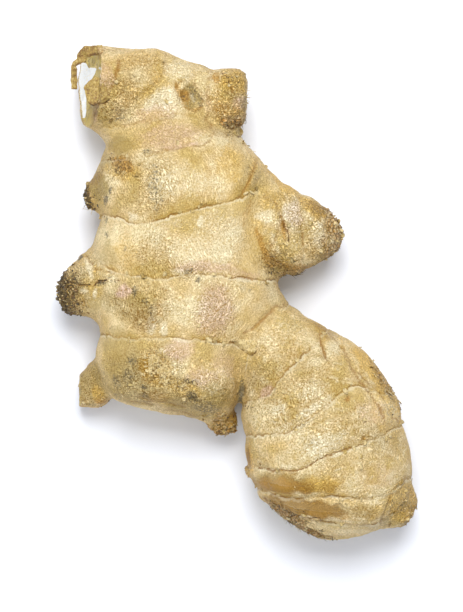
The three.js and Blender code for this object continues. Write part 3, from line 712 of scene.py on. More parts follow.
            (-34.4, -24.6, 1.6, 2, 0.8), (-3, -32, 4, 3, 0.9), (23, -10.4, 2, 5.4, 0.6, 46),
        ],
        Stain.SCABS: [
            (14.5, -57, 10.5, 1.9, 1, -31), (-19.4, -17, 3, 4.2, 0.45, 20), (-14, -22, 3.4, 1.6, 0.4, -30),
            (9.6, 7.4, 3, 2, 0.4, -15), (15, 6, 4, 0.9, 0.4, -4), (-1.2, 42.8, 2.4, 1.8, 1),
            (-36.6, 46.2, 1.3, 3, 0.6), (37.4, -22, 1.2, 8, 0.6, 38), (43, -53.4, 2.6, 3.4, 0.4),
            (-4, -31.6, 3, 2.4, 0.6),
        ],
        Stain.BARE: [
            (-38.8, 6.4, 3.4, 2.4, 1, 42), (-36.4, 0, 2.4, 3.6, 1),
        ],
    }.items()
}


@dataclass(frozen=True)
class Seam:
    """A fine groove, crack or scale edge on the upper skin, as points seen from above.

    step is how far the skin on the left of the path stands above that on its right. shade is how
    much browner the skin is close to the path on its left, or on its right where negative.
    """

    path: tuple[tuple[float, float], ...]
    groove: float = 0.25
    width: float = 0.4
    step: float = 0.0
    ink: float = 0.5
    wander: float = 0.7
    shade: float = 0.0


SEAMS = [
    # The crown's arc, torn edge, the groove under the flap with its painted shadow, and dark streak
    Seam(
        ((-17.6, 60.1), (-17.1, 55.6), (-19.3, 52.9), (-24.6, 48.6), (-28.1, 45.1), (-31.6, 42.6)),
        step=-0.3, ink=0.2, groove=0.1, shade=-0.5,
    ),
    Seam(((-32.8, 60.4), (-33.4, 57.4), (-33.8, 54.1), (-34.4, 52.2)), ink=0.7, step=0.3),
    Seam(((-31.2, 48.6), (-32.3, 47.4), (-34.1, 47.3), (-35.6, 46.6)), groove=0.7, step=-0.6, ink=1),
    Seam(((-29.3, 57.6), (-29.4, 55.6), (-30.3, 53.1), (-31.1, 51.1)), width=0.6, ink=0.4),
    # The eye's rim and lid
    Seam(
        ((-12, 46), (-10.8, 45.3), (-9.2, 45.5), (-8.2, 47.9), (-8.9, 50.4), (-10.8, 52.2)),
        step=-0.5, ink=0.36, wander=0.4,
    ),
    Seam(
        ((-12.6, 53), (-14.2, 52.6), (-15, 50.6), (-14.6, 48.8), (-13.4, 47)),
        step=-0.5, ink=0.34, wander=0.4,
    ),
    # The knob's crack and collar
    Seam(((-3.3, 54.8), (-2.3, 53.6), (-1.4, 51.3), (-0.8, 49.9)), groove=0.35, width=0.3, ink=0.95),
    Seam(
        ((-5.2, 57.8), (-6.6, 55.6), (-6.4, 52.4), (-7.4, 49.6), (-6.6, 46.4), (-7.8, 43.4), (-5.6, 40.8)),
        width=0.6, step=-0.35, ink=0.3, wander=1.4,
    ),
    # The first ring, the hook of the third and the shoulder's ridge
    Seam(
        ((-28.4, 41.6), (-26.1, 42.2), (-22.4, 42.8), (-19.1, 43), (-14.9, 44)),
        ink=0.3, groove=0.15, shade=-0.3,
    ),
    Seam(
        ((-21.6, 34.9), (-17, 35.6), (-12.8, 36.4), (-9.8, 36.6), (-7.8, 36.9), (-6.3, 38.6), (-5.3, 40.1)),
        ink=0.35, shade=0.2,
    ),
    Seam(
        ((4.9, 32.6), (3.9, 30.7), (2.8, 27.8), (1.6, 24.9), (0.3, 23.6)),
        groove=0.15, width=0.35, step=0.3, ink=0.42,
    ),
    # The finger's notch, groove and fold
    Seam(((10.7, 19.9), (11.7, 18.1), (12.7, 15.6), (13.2, 12.9)), groove=0.4, width=0.35, ink=0.9),
    Seam(((15.9, 18.1), (16.7, 14.9), (16.7, 10.6)), groove=0.3, width=0.3, ink=0.4),
    Seam(
        ((6.8, 24.4), (9.6, 22.6), (11.6, 19.4), (10.4, 15), (8.4, 11.6)),
        groove=0.35, width=0.8, ink=0.25,
    ),
    # The lobe's collar, the flap on the sixth ring, the ridge, and the pinch, whose dark line is painted
    # shadow in its fold over a real groove
    Seam(
        ((1.9, -9.9), (4.9, -7.9), (7.7, -5.2), (9.9, -2.9), (11.9, -2.7)),
        groove=0.4, width=0.6, step=-0.4, ink=0.4,
    ),
    Seam(
        ((-1.6, -11.7), (-0.3, -12), (1.6, -13.9), (3.7, -15.2), (4.9, -13.9), (4.7, -12.6)),
        groove=0.5, width=0.35, step=0.6, ink=0.95, wander=0.4,
    ),
    Seam(
        (
            (26.4, -13.3), (28.4, -17.9), (29.8, -19.4), (31.6, -21.1), (34.1, -23.1), (35.7, -24.9),
            (37.1, -28.1), (38.2, -30.6), (40, -31.7),
        ),
        groove=0.3, step=-0.55, ink=0.4,
    ),
    Seam(((27.4, -17.4), (30.4, -21.6), (33.2, -24.4), (35.4, -28.4), (36.4, -31.4)), ink=0.45, step=0.3),
    Seam(((20.7, -9.7), (21.2, -12.9), (21.7, -14.9), (22.3, -16.7)), groove=0.5, ink=0.5, wander=0.2),
    Seam(((22.6, -9.6), (24.6, -11.4), (26.6, -14.4), (27.4, -17.4)), ink=0.3, step=0.3),
    # The lips of the lobe's lowest three rings and the collar of its tip
    Seam(
        (
            (5.3, -42.9), (9.1, -43.6), (13.4, -43.6), (16.6, -42.9), (19.1, -41.4),
            (22.2, -39.8), (24.1, -39.2),
        ),
        step=0.5, ink=0.65, groove=0.2, width=0.35,
    ),
    Seam(
        (
            (5.3, -48.2), (12.7, -50.4), (20.7, -49.9), (32.1, -50.7), (38.4, -49.6),
            (40.7, -48.9), (42, -44.6),
        ),
        step=0.4, ink=0.25, groove=0.15,
    ),
    Seam(
        (
            (9.2, -51.4), (11.9, -53.7), (15.4, -54.7), (18.7, -55.9), (22.6, -56.7),
            (25.9, -57.2), (33.7, -57.4),
        ),
        step=0.35, ink=0.3, groove=0.2,
    ),
    Seam(((38.4, -49.8), (36.8, -52.9), (35.7, -56.6)), groove=0.4, ink=0.4, step=-0.3),
    # Fissures along the lobe's lower edge
    Seam(((16.8, -54.9), (18.4, -55.4), (20, -55.3)), groove=0.3, width=0.3, ink=1),
    Seam(((20.8, -55.9), (22.4, -56.2), (23.4, -56.1)), groove=0.3, width=0.3, ink=0.9),
    Seam(((12, -53.6), (14.4, -55.4), (17.4, -56.6)), groove=0.3, width=0.3, ink=0.7),
    Seam(((10, -53.2), (13, -56.2), (16.4, -58), (19.4, -59.4)), groove=0.45, width=0.35, ink=0.95),
    Seam(((8, -51.6), (10, -55), (14.4, -58.2), (18.4, -60.2)), groove=0.45, width=0.35, ink=0.95),
    Seam(((7.4, -50.4), (8.8, -52.6), (10.6, -54)), groove=0.3, width=0.3, ink=0.8),
    Seam(((13.6, -56.4), (16.6, -57.4), (20.4, -59.2), (24, -60.4)), groove=0.35, width=0.3, ink=0.8),
    # Dashes and the notch of the side bud
    Seam(((-39.1, 2.4), (-38, 2.5), (-36.8, 2.2), (-36.2, 2.4)), groove=0.3, width=0.35, ink=1),
    Seam(((-35.5, 2.1), (-34.6, 3), (-33.4, 3.3), (-32.2, 3.5)), groove=0.3, width=0.35, ink=1),
    Seam(((-31.2, 3.3), (-30, 3.7), (-28.8, 3.4)), groove=0.3, width=0.3, ink=0.8),
    Seam(
        ((-38.2, 10.4), (-37.6, 9.8), (-35.9, 7.4), (-35.1, 6.1), (-33.2, 5.7), (-30.2, 5.2)),
        groove=0.3, ink=0.45,
    ),
    # Wrinkles on the heel
    Seam(((-26.6, -26.4), (-19, -28), (-9.1, -30.4)), ink=0.35, width=0.3),
    Seam(((-24.6, -25.4), (-18, -26.8), (-12.1, -28.2)), ink=0.3, width=0.3),
    Seam(((-21.6, -28.8), (-16, -29.2), (-9.6, -31.2)), ink=0.3, width=0.3),
]


@dataclass(frozen=True)
class Bump:
    """A round swelling or pit of the upper skin: middle, radius, height and height of its rim."""

    x: float
    y: float
    radius: float
    height: float
    rim: float = 0.0
    tall: float = 1.0  # its length in y over its length in x


BUMPS = [
    Bump(*row) for row in (
        (-11.5, 49.1, 2.9, -0.4, 0.05, 1.25), (-12.6, 49.2, 1.6, -0.7, 0.2, 1.1),
        (-8.8, -16.2, 0.9, -0.1, 0.6), (-18.9, -4.2, 1.1, -0.25, 0.4, 2), (27.4, -25.6, 0.8, -0.8, 0.15),
        (31.5, -35.6, 0.6, -0.6, 0.2), (11.6, -9.4, 1.4, 0.1, 0.25), (-35.3, 57.4, 1.6, -0.8),
        (-10.6, -25.3, 1.3, -0.5, 0.2, 0.6), (-19.6, -16.4, 0.9, 0.5), (-17.4, -18.6, 0.8, 0.6),
        (-14.2, -20.4, 0.9, 0.5), (-17.9, -15.6, 0.8, 0.5), (-18.8, -20.2, 0.7, 0.4),
        (-25.6, 18.4, 0.9, 0.3), (-8.5, 18, 0.9, 0.35), (-21.1, -7.8, 0.9, 0.4, 0, 2),
        (-18, -8.8, 0.7, 0.35, 0, 2), (18.2, -28.6, 2.4, 0.35, 0, 0.5), (-35, 0, 0.7, 0.35, 0, 1.6),
        (-36, 6.6, 0.9, 0.4, 0, 1.8), (23, -13, 2.2, 0.5, 0, 1.5),
    )
]


@dataclass
class Surface:
    """The finished skin's points and normals in mm, and what the finish and the small pieces read."""

    points: Array
    normals: Array
    looks: dict[str, Array]

    def spots_round(
        self, draw: np.random.Generator, spot: "Heap | Tuft", fall: float, reach: float, tilt: float
    ) -> Array:
        """Draws skin points round a spot, each by the chance e to the power of -(away^2 * fall).

        Args:
            draw: The source of random numbers.
            spot: Has the middle, the radius and how many to draw.
            fall: How fast the chance falls with away, which is the distance in radii.
            reach: How many radii away there are none.
            tilt: The lowest z of a point's normal.

        Returns:
            (spot.count,) point numbers.
        """
        points = self.points
        away = np.hypot(points[:, 0] - spot.x, points[:, 1] - spot.y) / spot.radius
        chance = np.exp(-(away**2) * fall) * (away < reach) * (self.normals[:, 2] > tilt)
        return draw.choice(len(points), spot.count, p=chance / chance.sum())

    def heights(self, flat: Array) -> Array:
        """How high the upper skin lies under places seen from above: the nearest point's height.

        Args:
            flat: (n, 2) places in mm.

        Returns:
            (n,) heights in mm.
        """
        upper = self.points[self.normals[:, 2] > 0.1]
        gaps = np.linalg.norm(upper[None, :, :2] - flat[:, None], axis=2)
        return upper[gaps.argmin(1), 2]


@dataclass
class Skin:
    """The hand's whole skin: the limbs' union, blended, with scars, lumps, crust and torn ends.

    The limbs' grids are joined by a voxel remesh. Each crease between limbs is filled by drawing
    the points round it towards their neighbours' average. Then each point moves along its normal
    by the relief, a sum of scar, swell, lump, wrinkle and crust heights.
    """

    voxel: float = 0.529
    blend_passes: int = 150
    blend_steps: int = 14  # how many edges a crease's blend walks along
    swap: float = 0.9  # mm over which one limb's relief gives way to the next one's
    swell: float = 0.42
    lump: float = 0.55
    lump_length: float = 9.0
    crumple: float = 0.42
    crumple_length: float = 3.2
    rough: float = 0.38
    wrinkle: float = 0.24
    wrinkle_length: float = 1.4
    scab: float = 0.4  # height of the scabs that aren't on a tip
    scab_length: float = 1.5
    ledge: float = 0.13  # height of the papery edge at a scar
    groove: float = 0.06
    fade: float = 0.7  # how much fainter the scars near the crown are
    fade_from: float = 30.5  # y in mm
    fade_to: float = 35.0
    edge_reach: float = 6.0  # mm from a scar that the finish can tell
    blotch: float = 0.45  # strength of the faint blotches
    blotch_length: float = 7.5
    grain: Grain = field(default_factory=lambda: Grain(7))

    def build(self, material: Material) -> tuple[Object, Surface]:
        """Makes the skin's object.

        Args:
            material: The skin's finish.

        Returns:
            The object, and its points for the small pieces that lie on it.
        """
        mesh = self._remeshed(self._joined())
        points = read_points(mesh)
        edges = read_edges(mesh)
        points = relax(points, edges, np.full(len(points), 0.5), 3)
        places = [limb.locate(points) for limb in LIMBS]
        owner = np.argmin([place.gap for place in places], axis=0)
        fold = self._crease_weights(points, edges, owner)
        points = relax(points, edges, 0.6 * fold, self.blend_passes)
        points = relax(points, edges, np.full(len(points), 0.4), 2)
        places = [limb.locate(points) for limb in LIMBS]
        gaps = np.array([place.gap for place in places])
        share = hump(gaps - gaps.min(0), self.swap)
        share /= share.sum(0)
        normals = point_normals(mesh, points)
        height, looks = self._relief(points, normals, places, share)
        # The crease weights also go to the finish, which paints khaki into the creases between limbs: painted
        # shade, together with the browner colour of the skin in its folds
        looks["fold"] = fold
        points = points + normals * height[:, None]
        points = self._torn(points, share, looks)
        points[:, 2] = np.maximum(points[:, 2], 0)
        surface = Surface(points, point_normals(mesh, points), looks)
        write_points(mesh, points * METRES)
        for name, values in looks.items():
            write_attribute(mesh, name, values)
        mesh.name = "ginger_skin"
        return add_piece(mesh, material), surface

    def _joined(self) -> Mesh:
        """One mesh with every limb's closed grid, overlapping."""
        points, faces, start = [], [], 0
        for limb in LIMBS:
            grid, quads, caps = limb.skin(self.voxel * 1.2)
            points.append(grid)
            faces += (quads + start).tolist() + (caps + start).tolist()
            start += len(grid)
        mesh = bpy.data.meshes.new("limbs")
        mesh.from_pydata((np.vstack(points) * METRES).tolist(), [], faces)
        return mesh

    def _remeshed(self, joined: Mesh) -> Mesh:
        """The limbs' union as one closed skin of even faces."""
        carrier = bpy.data.objects.new("limbs", joined)
        bpy.context.collection.objects.link(carrier)
        remesh = carrier.modifiers.new("union", "REMESH")
        remesh.mode = "VOXEL"
        remesh.voxel_size = self.voxel * METRES
        graph = bpy.context.evaluated_depsgraph_get()
        mesh = bpy.data.meshes.new_from_object(carrier.evaluated_get(graph))
        bpy.data.objects.remove(carrier)
        bpy.data.meshes.remove(joined)
        return mesh

    def _crease_weights(self, points: Array, edges: Array, owner: Array) -> Array:
        """1 on the creases between limbs, easing to 0 at the smaller blend of the two limbs.

        A share of 1 starts on each edge between two limbs. It walks along the edges and loses
        each edge's length over the blend.

        Args:
            points: (n, 3) array.
            edges: (m, 2) pairs of neighbours.
            owner: (n,) number of each point's limb.

        Returns:
            (n,) array from 0 to 1.
        """
        reach = np.array([limb.blend for limb in LIMBS])
        start = edges[owner[edges[:, 0]] != owner[edges[:, 1]]]
        limit = np.full(len(points), FAR)
        meet = np.minimum(reach[owner[start[:, 0]]], reach[owner[start[:, 1]]])
        np.minimum.at(limit, start.ravel(), np.repeat(meet, 2))
        left = (limit < FAR).astype(float)
        both = np.vstack([edges, edges[:, ::-1]])
        length = np.linalg.norm(points[both[:, 0]] - points[both[:, 1]], axis=1)
        for _ in range(self.blend_steps):
            arrived = left[both[:, 0]] - length / limit[both[:, 0]]
            best = left.copy()
            np.maximum.at(best, both[:, 1], arrived)
            won = (arrived >= best[both[:, 1]] - 1e-9) & (arrived > left[both[:, 1]])
            limit[both[won, 1]] = limit[both[won, 0]]
            left = best
        one, two = edges.T
        weights = smoothstep(left, 0, 1)
        degree = np.bincount(edges.ravel(), minlength=len(points))
        for _ in range(4):
            total = np.bincount(one, weights[two], len(points))
            total += np.bincount(two, weights[one], len(points))
            weights = (weights + total / degree) / 2
        return weights

    def _relief(
        self, points: Array, normals: Array, places: list[Placement], share: Array
    ) -> tuple[Array, dict[str, Array]]:
        """The height of the relief in mm, and the attributes that the finish reads.

        Args:
            points: (n, 3) plain skin in mm.
            normals: (n, 3) directions.
            places: The points in each limb's coordinates.
            share: (limbs, n) how much each point belongs to each limb.

        Returns:
            (n,) heights, and named (n,) or (n, 3) arrays.
        """
        soft = self.grain.soft
        looks = self._stains(points, normals)
        sure = smoothstep(share.max(0), 0.55, 0.95)
        owner = share.argmax(0)
        for name in ("edge", "line", "crust", "char", "tone", "streak", "mottle"):
            looks[name] = np.zeros(len(points))
        strips = np.zeros((len(points), 3))
        height = self.lump * soft(points, self.lump_length)
        ragged = 1.2 * soft(points, 6.5) + 0.8 * soft(points, 2.2) + 0.5 * soft(points, 0.9)
        depth = np.clip(0.6 + 1.6 * soft(points + 40, 6.5), 0.3, 1.2)
        depth *= 1 - self.fade * smoothstep(points[:, 1], self.fade_from, self.fade_to)
        near, second = self.grain.cells(points, self.scab_length)
        scab = 1.1 * smoothstep(second - near, 0.0, 0.45) - 0.5 + 0.9 * soft(points, 0.9)
        for number, (limb, place, part) in enumerate(zip(LIMBS, places, share)):
            gentle = (limb.scar_distance(place) + ragged) * limb.lean
            fall = smoothstep(np.abs(gentle), 0.05, 0.4) * np.exp(-np.abs(gentle) / 1.2)
            ledge = np.where(gentle < 0, 1, -0.7) * fall
            ring = self.ledge * ledge - self.groove * hump(gentle, 0.4)
            height += part * (limb.line * depth * ring + self.swell * limb.swell(place))
            worn = place.row + 0.7 * soft(points, 3.0)
            tip = smoothstep(worn, limb.last - limb.crust_rows, limb.last - 0.5) * (limb.crust > 0)
            tip = tip * (1 - np.clip(looks["bare"], 0, 1))
            height += part * limb.crust * tip * scab
            edge = np.clip(gentle, -self.edge_reach, self.edge_reach)
            looks["edge"] = np.where(owner == number, edge, looks["edge"])
            looks["line"] += part * sure * depth * limb.line * smoothstep(-np.abs(gentle), -5.6, -4.0)
            inner = smoothstep(np.minimum(place.row, limb.last - place.row), 1.6, 2.6)
            for name, amount in (
                ("crust", tip * limb.scabs), ("char", tip * limb.char), ("tone", limb.tone),
                ("mottle", limb.mottle), ("streak", sure * inner * limb.streak),
            ):
                looks[name] += part * amount
            along = place.row * place.spacing.mean()
            own = np.column_stack([place.around, along, np.zeros(len(points))])
            strips = np.where((owner == number)[:, None], own, strips)
        looks["strips"] = strips
        crumples = self.grain.layered(points, self.crumple_length)
        height += self.crumple * (1 - 0.75 * looks["streak"]) * crumples
        looks["crust"] = np.maximum(looks["crust"], looks["scabs"])
        height += self.scab * looks["scabs"] * scab
        height += sure * self._wrinkles(points, strips, looks)
        height += self._bumps(points, normals)
        height += self._seams(points, normals, looks)
        height += self.rough * looks["rough"] * (soft(points, 1.5) + 0.8 * soft(points, 0.9))
        return height, looks

    def _wrinkles(self, points: Array, strips: Array, looks: dict[str, Array]) -> Array:
        """Low ridges along the limbs: noise stretched five times along them, less where it's smooth."""
        drift = np.column_stack([np.zeros((len(points), 2)), points[:, 2] * 0.1])
        patch = smoothstep(self.grain.soft(points + 9, 11.0), -0.3, 0.25)
        patch *= 0.2 + 0.8 * looks["streak"]
        ridges = self.grain.soft(strips * np.array([1.0, 0.2, 1.0]) + drift, self.wrinkle_length)
        return self.wrinkle * patch * (1 - 0.6 * looks["smooth"]) * ridges

    def _bumps(self, points: Array, normals: Array) -> Array:
        """Warts, pits and the eye scar: a plateau or a dish inside a rim, on the upper skin."""
        height = np.zeros(len(points))
        frayed = points + 0.6 * np.column_stack([self.grain.soft(points + k, 1.6) for k in (3, 29, 71)])
        for bump in BUMPS:
            x, y = frayed[:, 0] - bump.x, frayed[:, 1] - bump.y
            away = np.hypot(x, y / bump.tall) / bump.radius
            inside = 1 - smoothstep(away, 0.45, 1.0)
            height += bump.height * inside + bump.rim * hump(away - 1, 0.28)
        return height * smoothstep(normals[:, 2], 0.1, 0.4)

    def _seams(self, points: Array, normals: Array, looks: dict[str, Array]) -> Array:
        """Grooves and steps along the seams; keeps each point's nearest seam for the finish.

        Args:
            points: (n, 3) plain skin in mm.
            normals: (n, 3) directions.
            looks: Gets "seam", how far off the nearest seam is, "ink", its darkness, and more "tone".

        Returns:
            (n,) heights in mm.
        """
        top = smoothstep(normals[:, 2], 0.0, 0.3)
        drift = np.column_stack([self.grain.soft(points + k, 2.4) for k in (5, 23)])
        drift += 0.5 * np.column_stack([self.grain.soft(points + k, 0.9) for k in (11, 41)])
        height = np.zeros(len(points))
        looks["seam"] = np.full(len(points), 3.0)
        looks["ink"] = np.zeros(len(points))
        for seam in SEAMS:
            away, along = line_distance(points[:, :2] + seam.wander * drift, np.array(seam.path))
            ends = smoothstep(along, 0.0, 0.12) * smoothstep(1 - along, 0.0, 0.12)
            stand = np.sign(away) * np.exp(-np.abs(away) / 1.3) * smoothstep(np.abs(away), 0, 0.35)
            height += top * ends * (0.5 * seam.step * stand - seam.groove * hump(away, seam.width))
            beside = away * (np.sign(seam.shade) or 1.0)
            shade = smoothstep(beside, -0.15, 0.35) * np.exp(-np.maximum(beside, 0) / 3.0)
            looks["tone"] = np.maximum(looks["tone"], abs(seam.shade) * shade * top * ends)
            close = np.abs(away) / seam.width * 0.4
            nearer = close < looks["seam"]
            looks["ink"] = np.where(nearer, seam.ink * top, looks["ink"])
            looks["seam"] = np.minimum(looks["seam"], close)
        return height

    def _stains(self, points: Array, normals: Array) -> dict[str, Array]:
        """One attribute a stain: the strongest of its ovals with frayed edges, and faint blotches.

        The blotches, noise past a limit, also reach the sides and the underside.

        Args:
            points: (n, 3) plain skin in mm.
            normals: (n, 3) directions.

        Returns:
            Stain name to (n,) array.
        """
        top = smoothstep(normals[:, 2], -0.1, 0.25)
        drift = np.column_stack([self.grain.layered(points + k, 3.4) for k in (0, 31)])
        stains = {}
        for number, (stain, marks) in enumerate(MARKS.items()):
            blotch = self.grain.soft(points + 53.7 * (number + 1), self.blotch_length)
            cover = self.blotch * smoothstep(blotch, 0.18, 0.45) * (1 - 0.5 * top)
            for mark in marks:
                turn = math.radians(mark.turn)
                fray = min(1.8, 0.8 * min(mark.wide, mark.high))
                dx, dy = (points[:, :2] + fray * drift - (mark.x, mark.y)).T
                u = (dx * math.cos(turn) + dy * math.sin(turn)) / mark.wide
                v = (dy * math.cos(turn) - dx * math.sin(turn)) / mark.high
                oval = 1 - smoothstep(np.hypot(u, v), 0.5, 1.4)
                cover = np.maximum(cover, mark.strength * top * oval)
            stains[stain.value] = cover
        return stains

    def _torn(self, points: Array, share: Array, looks: dict[str, Array]) -> Array:
        """Points past a broken end fall back along its normal onto the torn face.

        Args:
            points: (n, 3) array in mm.
            share: (limbs, n) how much each point belongs to each limb.
            looks: Gets "torn", 1 on a torn face, and "flesh", 1 where it is white.

        Returns:
            The moved points.
        """
        names = [limb.name for limb in LIMBS]
        looks["torn"] = np.zeros(len(points))
        for tear in TEARS:
            out = np.array(tear.normal) / np.linalg.norm(tear.normal)
            away = points - np.array(tear.point)
            past = away @ out
            flat = away - past[:, None] * out
            dish = tear.dish * np.maximum(0, 1 - (np.linalg.norm(flat, axis=1) / tear.radius) ** 2)
            face = tear.rough * self.grain.layered(flat + 80, 3.2) - dish
            inside = share[names.index(tear.limb)] > 0.3
            over = np.where(inside, past - face, -BEYOND)
            back = np.maximum(over, 0) - tear.rim * hump(over + 0.5, 0.7)
            points = points - back[:, None] * out
            looks["torn"] = np.maximum(looks["torn"], smoothstep(over, 0.05, 0.5))
        wedge, _ = line_distance(points[:, :2], np.array([*FLESH, FLESH[0]]))
        under = 1 - smoothstep(points[:, 2], UNDERSIDE - 2, UNDERSIDE)
        inner = np.maximum(smoothstep(-wedge, -0.2, 0.2), under)
        looks["flesh"] = looks["torn"] * inner * (points[:, 1] > 0)
        return points


# Small pieces on the skin


def add_piece(mesh: Mesh, material: Material) -> Object:
    """Puts a mesh in the scene with its finish, as a smooth object of the same name."""
    mesh.shade_smooth()
    mesh.materials.append(material)
    piece = bpy.data.objects.new(mesh.name, mesh)
    bpy.context.collection.objects.link(piece)
    return piece


def place_mesh(name: str, points: Array, faces: list, dark: Array, material: Material) -> Object:
    """Makes one small piece.

    Args:
        name: Its name.
        points: (n, 3) array in mm; those under LOWEST are raised to it.
        faces: Rows of point numbers.
        dark: (n,) how dark its finish is, from 0 to 1.
        material: Its finish, which reads "dark".

    Returns:
        The object.
    """
    raised = np.column_stack([points[:, :2], np.maximum(points[:, 2], LOWEST)])
    mesh = bpy.data.meshes.new(name)
    mesh.from_pydata((raised * METRES).tolist(), [], faces)
    write_attribute(mesh, "dark", np.clip(dark, 0, 1))
    return add_piece(mesh, material)


def swept(centre: Array, side: Array, rise: Array, corners: int, power: float = 1.0) -> tuple[Array, list]:
    """Closed tubes: an oval of `corners` points, carried along each of n paths.

    A corner at angle a lies at centre + cos(a)^power * side + sin(a)^power * rise. The paths run
    along rise x side, so that the faces point outwards.

    Args:
        centre: (n, stations, 3) points of the paths.
        side: (n, stations, 3) half widths.
        rise: (n, stations, 3) half heights.
        corners: Points round a tube.
        power: 1 for an oval, less for a box with round edges.

    Returns:
        (points, 3) array, and faces.
    """
    angle = (np.arange(corners) + 0.5) * 2 * math.pi / corners
    wide = (np.sign(np.cos(angle)) * np.abs(np.cos(angle)) ** power)[:, None]
    tall = (np.sign(np.sin(angle)) * np.abs(np.sin(angle)) ** power)[:, None]
    points = centre[:, :, None] + side[:, :, None] * wide + rise[:, :, None] * tall
    count, stations = centre.shape[:2]
    index = np.arange(count * stations * corners).reshape(count, stations, corners)
    turned = np.roll(index, -1, 2)
    quads = np.stack([index[:, :-1], index[:, 1:], turned[:, 1:], turned[:, :-1]], -1).reshape(-1, 4)
    caps = np.concatenate([index[:, 0], index[:, -1, ::-1]])
    return points.reshape(-1, 3), quads.tolist() + caps.tolist()


def unit(vectors: Array) -> Array:
    """The vectors at length 1."""
    return vectors / np.maximum(np.linalg.norm(vectors, axis=-1, keepdims=True), 1e-9)


@dataclass(frozen=True)
class Heap:
    """A place where crumbs gather: middle, radius, how many, their size in mm and how dark they are."""

    x: float
    y: float
    radius: float
    count: int
    size: float = 0.4
    dark: float = 0.3


HEAPS = [
    Heap(*row) for row in (
        (-42.6, 0.2, 4, 330, 0.36, 0.62), (-41.6, 3, 2.6, 110, 0.34, 0.75),
        (-40, -3.2, 2.2, 90, 0.34, 0.85), (-37.4, 23.6, 2.4, 90, 0.4, 0.9),
        (-35.6, 21.6, 1.6, 26, 0.4, 0.9), (-19.4, -16.6, 2.6, 170, 0.62, 0.04),
        (-17.4, -19.8, 2.2, 90, 0.58, 0.04), (-14, -22, 2, 50, 0.45, 0.1), (-10.2, -25, 2.4, 40, 0.4, 0.3),
        (-2.2, -32.6, 2.6, 70, 0.55, 0.35), (-8, -30.6, 1.4, 16, 0.45, 0.4), (9, 5.6, 1.4, 34, 0.36, 0.85),
        (13.4, 5.2, 2, 26, 0.36, 0.85), (17.6, 6, 1.6, 10, 0.3, 0.9), (7, 4.6, 1.5, 16, 0.35, 0.2),
        (26, 15, 3.6, 14, 0.28, 0.5), (26, 11.6, 2.4, 26, 0.22, 0.85), (19.3, 6.9, 0.9, 8, 0.3, 0.9),
        (-13.4, 5.7, 3.4, 44, 0.28, 0.1), (-25, 18.4, 3.4, 26, 0.22, 0.1), (-21, -8, 3, 26, 0.25, 0.05),
        (8.6, -53.6, 2.2, 70, 0.42, 0.7), (13, -57.6, 2.4, 100, 0.42, 0.7),
        (18.6, -60.2, 2.6, 70, 0.42, 0.5), (23, -61, 1.4, 16, 0.45, 0.7), (38.4, -24, 1.4, 20, 0.4, 0.6),
        (40.4, -28.6, 1.4, 20, 0.4, 0.6), (35.2, -18.2, 1.4, 16, 0.35, 0.5),
        (43.4, -53.4, 2.6, 60, 0.32, 0.25), (2.6, -28, 1.2, 12, 0.4, 0.6),
        (-33.6, -26.4, 1.6, 16, 0.4, 0.4), (-33.2, 19.6, 1, 9, 0.45, 0.2), (-1.6, 42.6, 1.8, 26, 0.3, 0.8),
        (2.6, -44.6, 1.2, 14, 0.35, 0.3),
    )
]


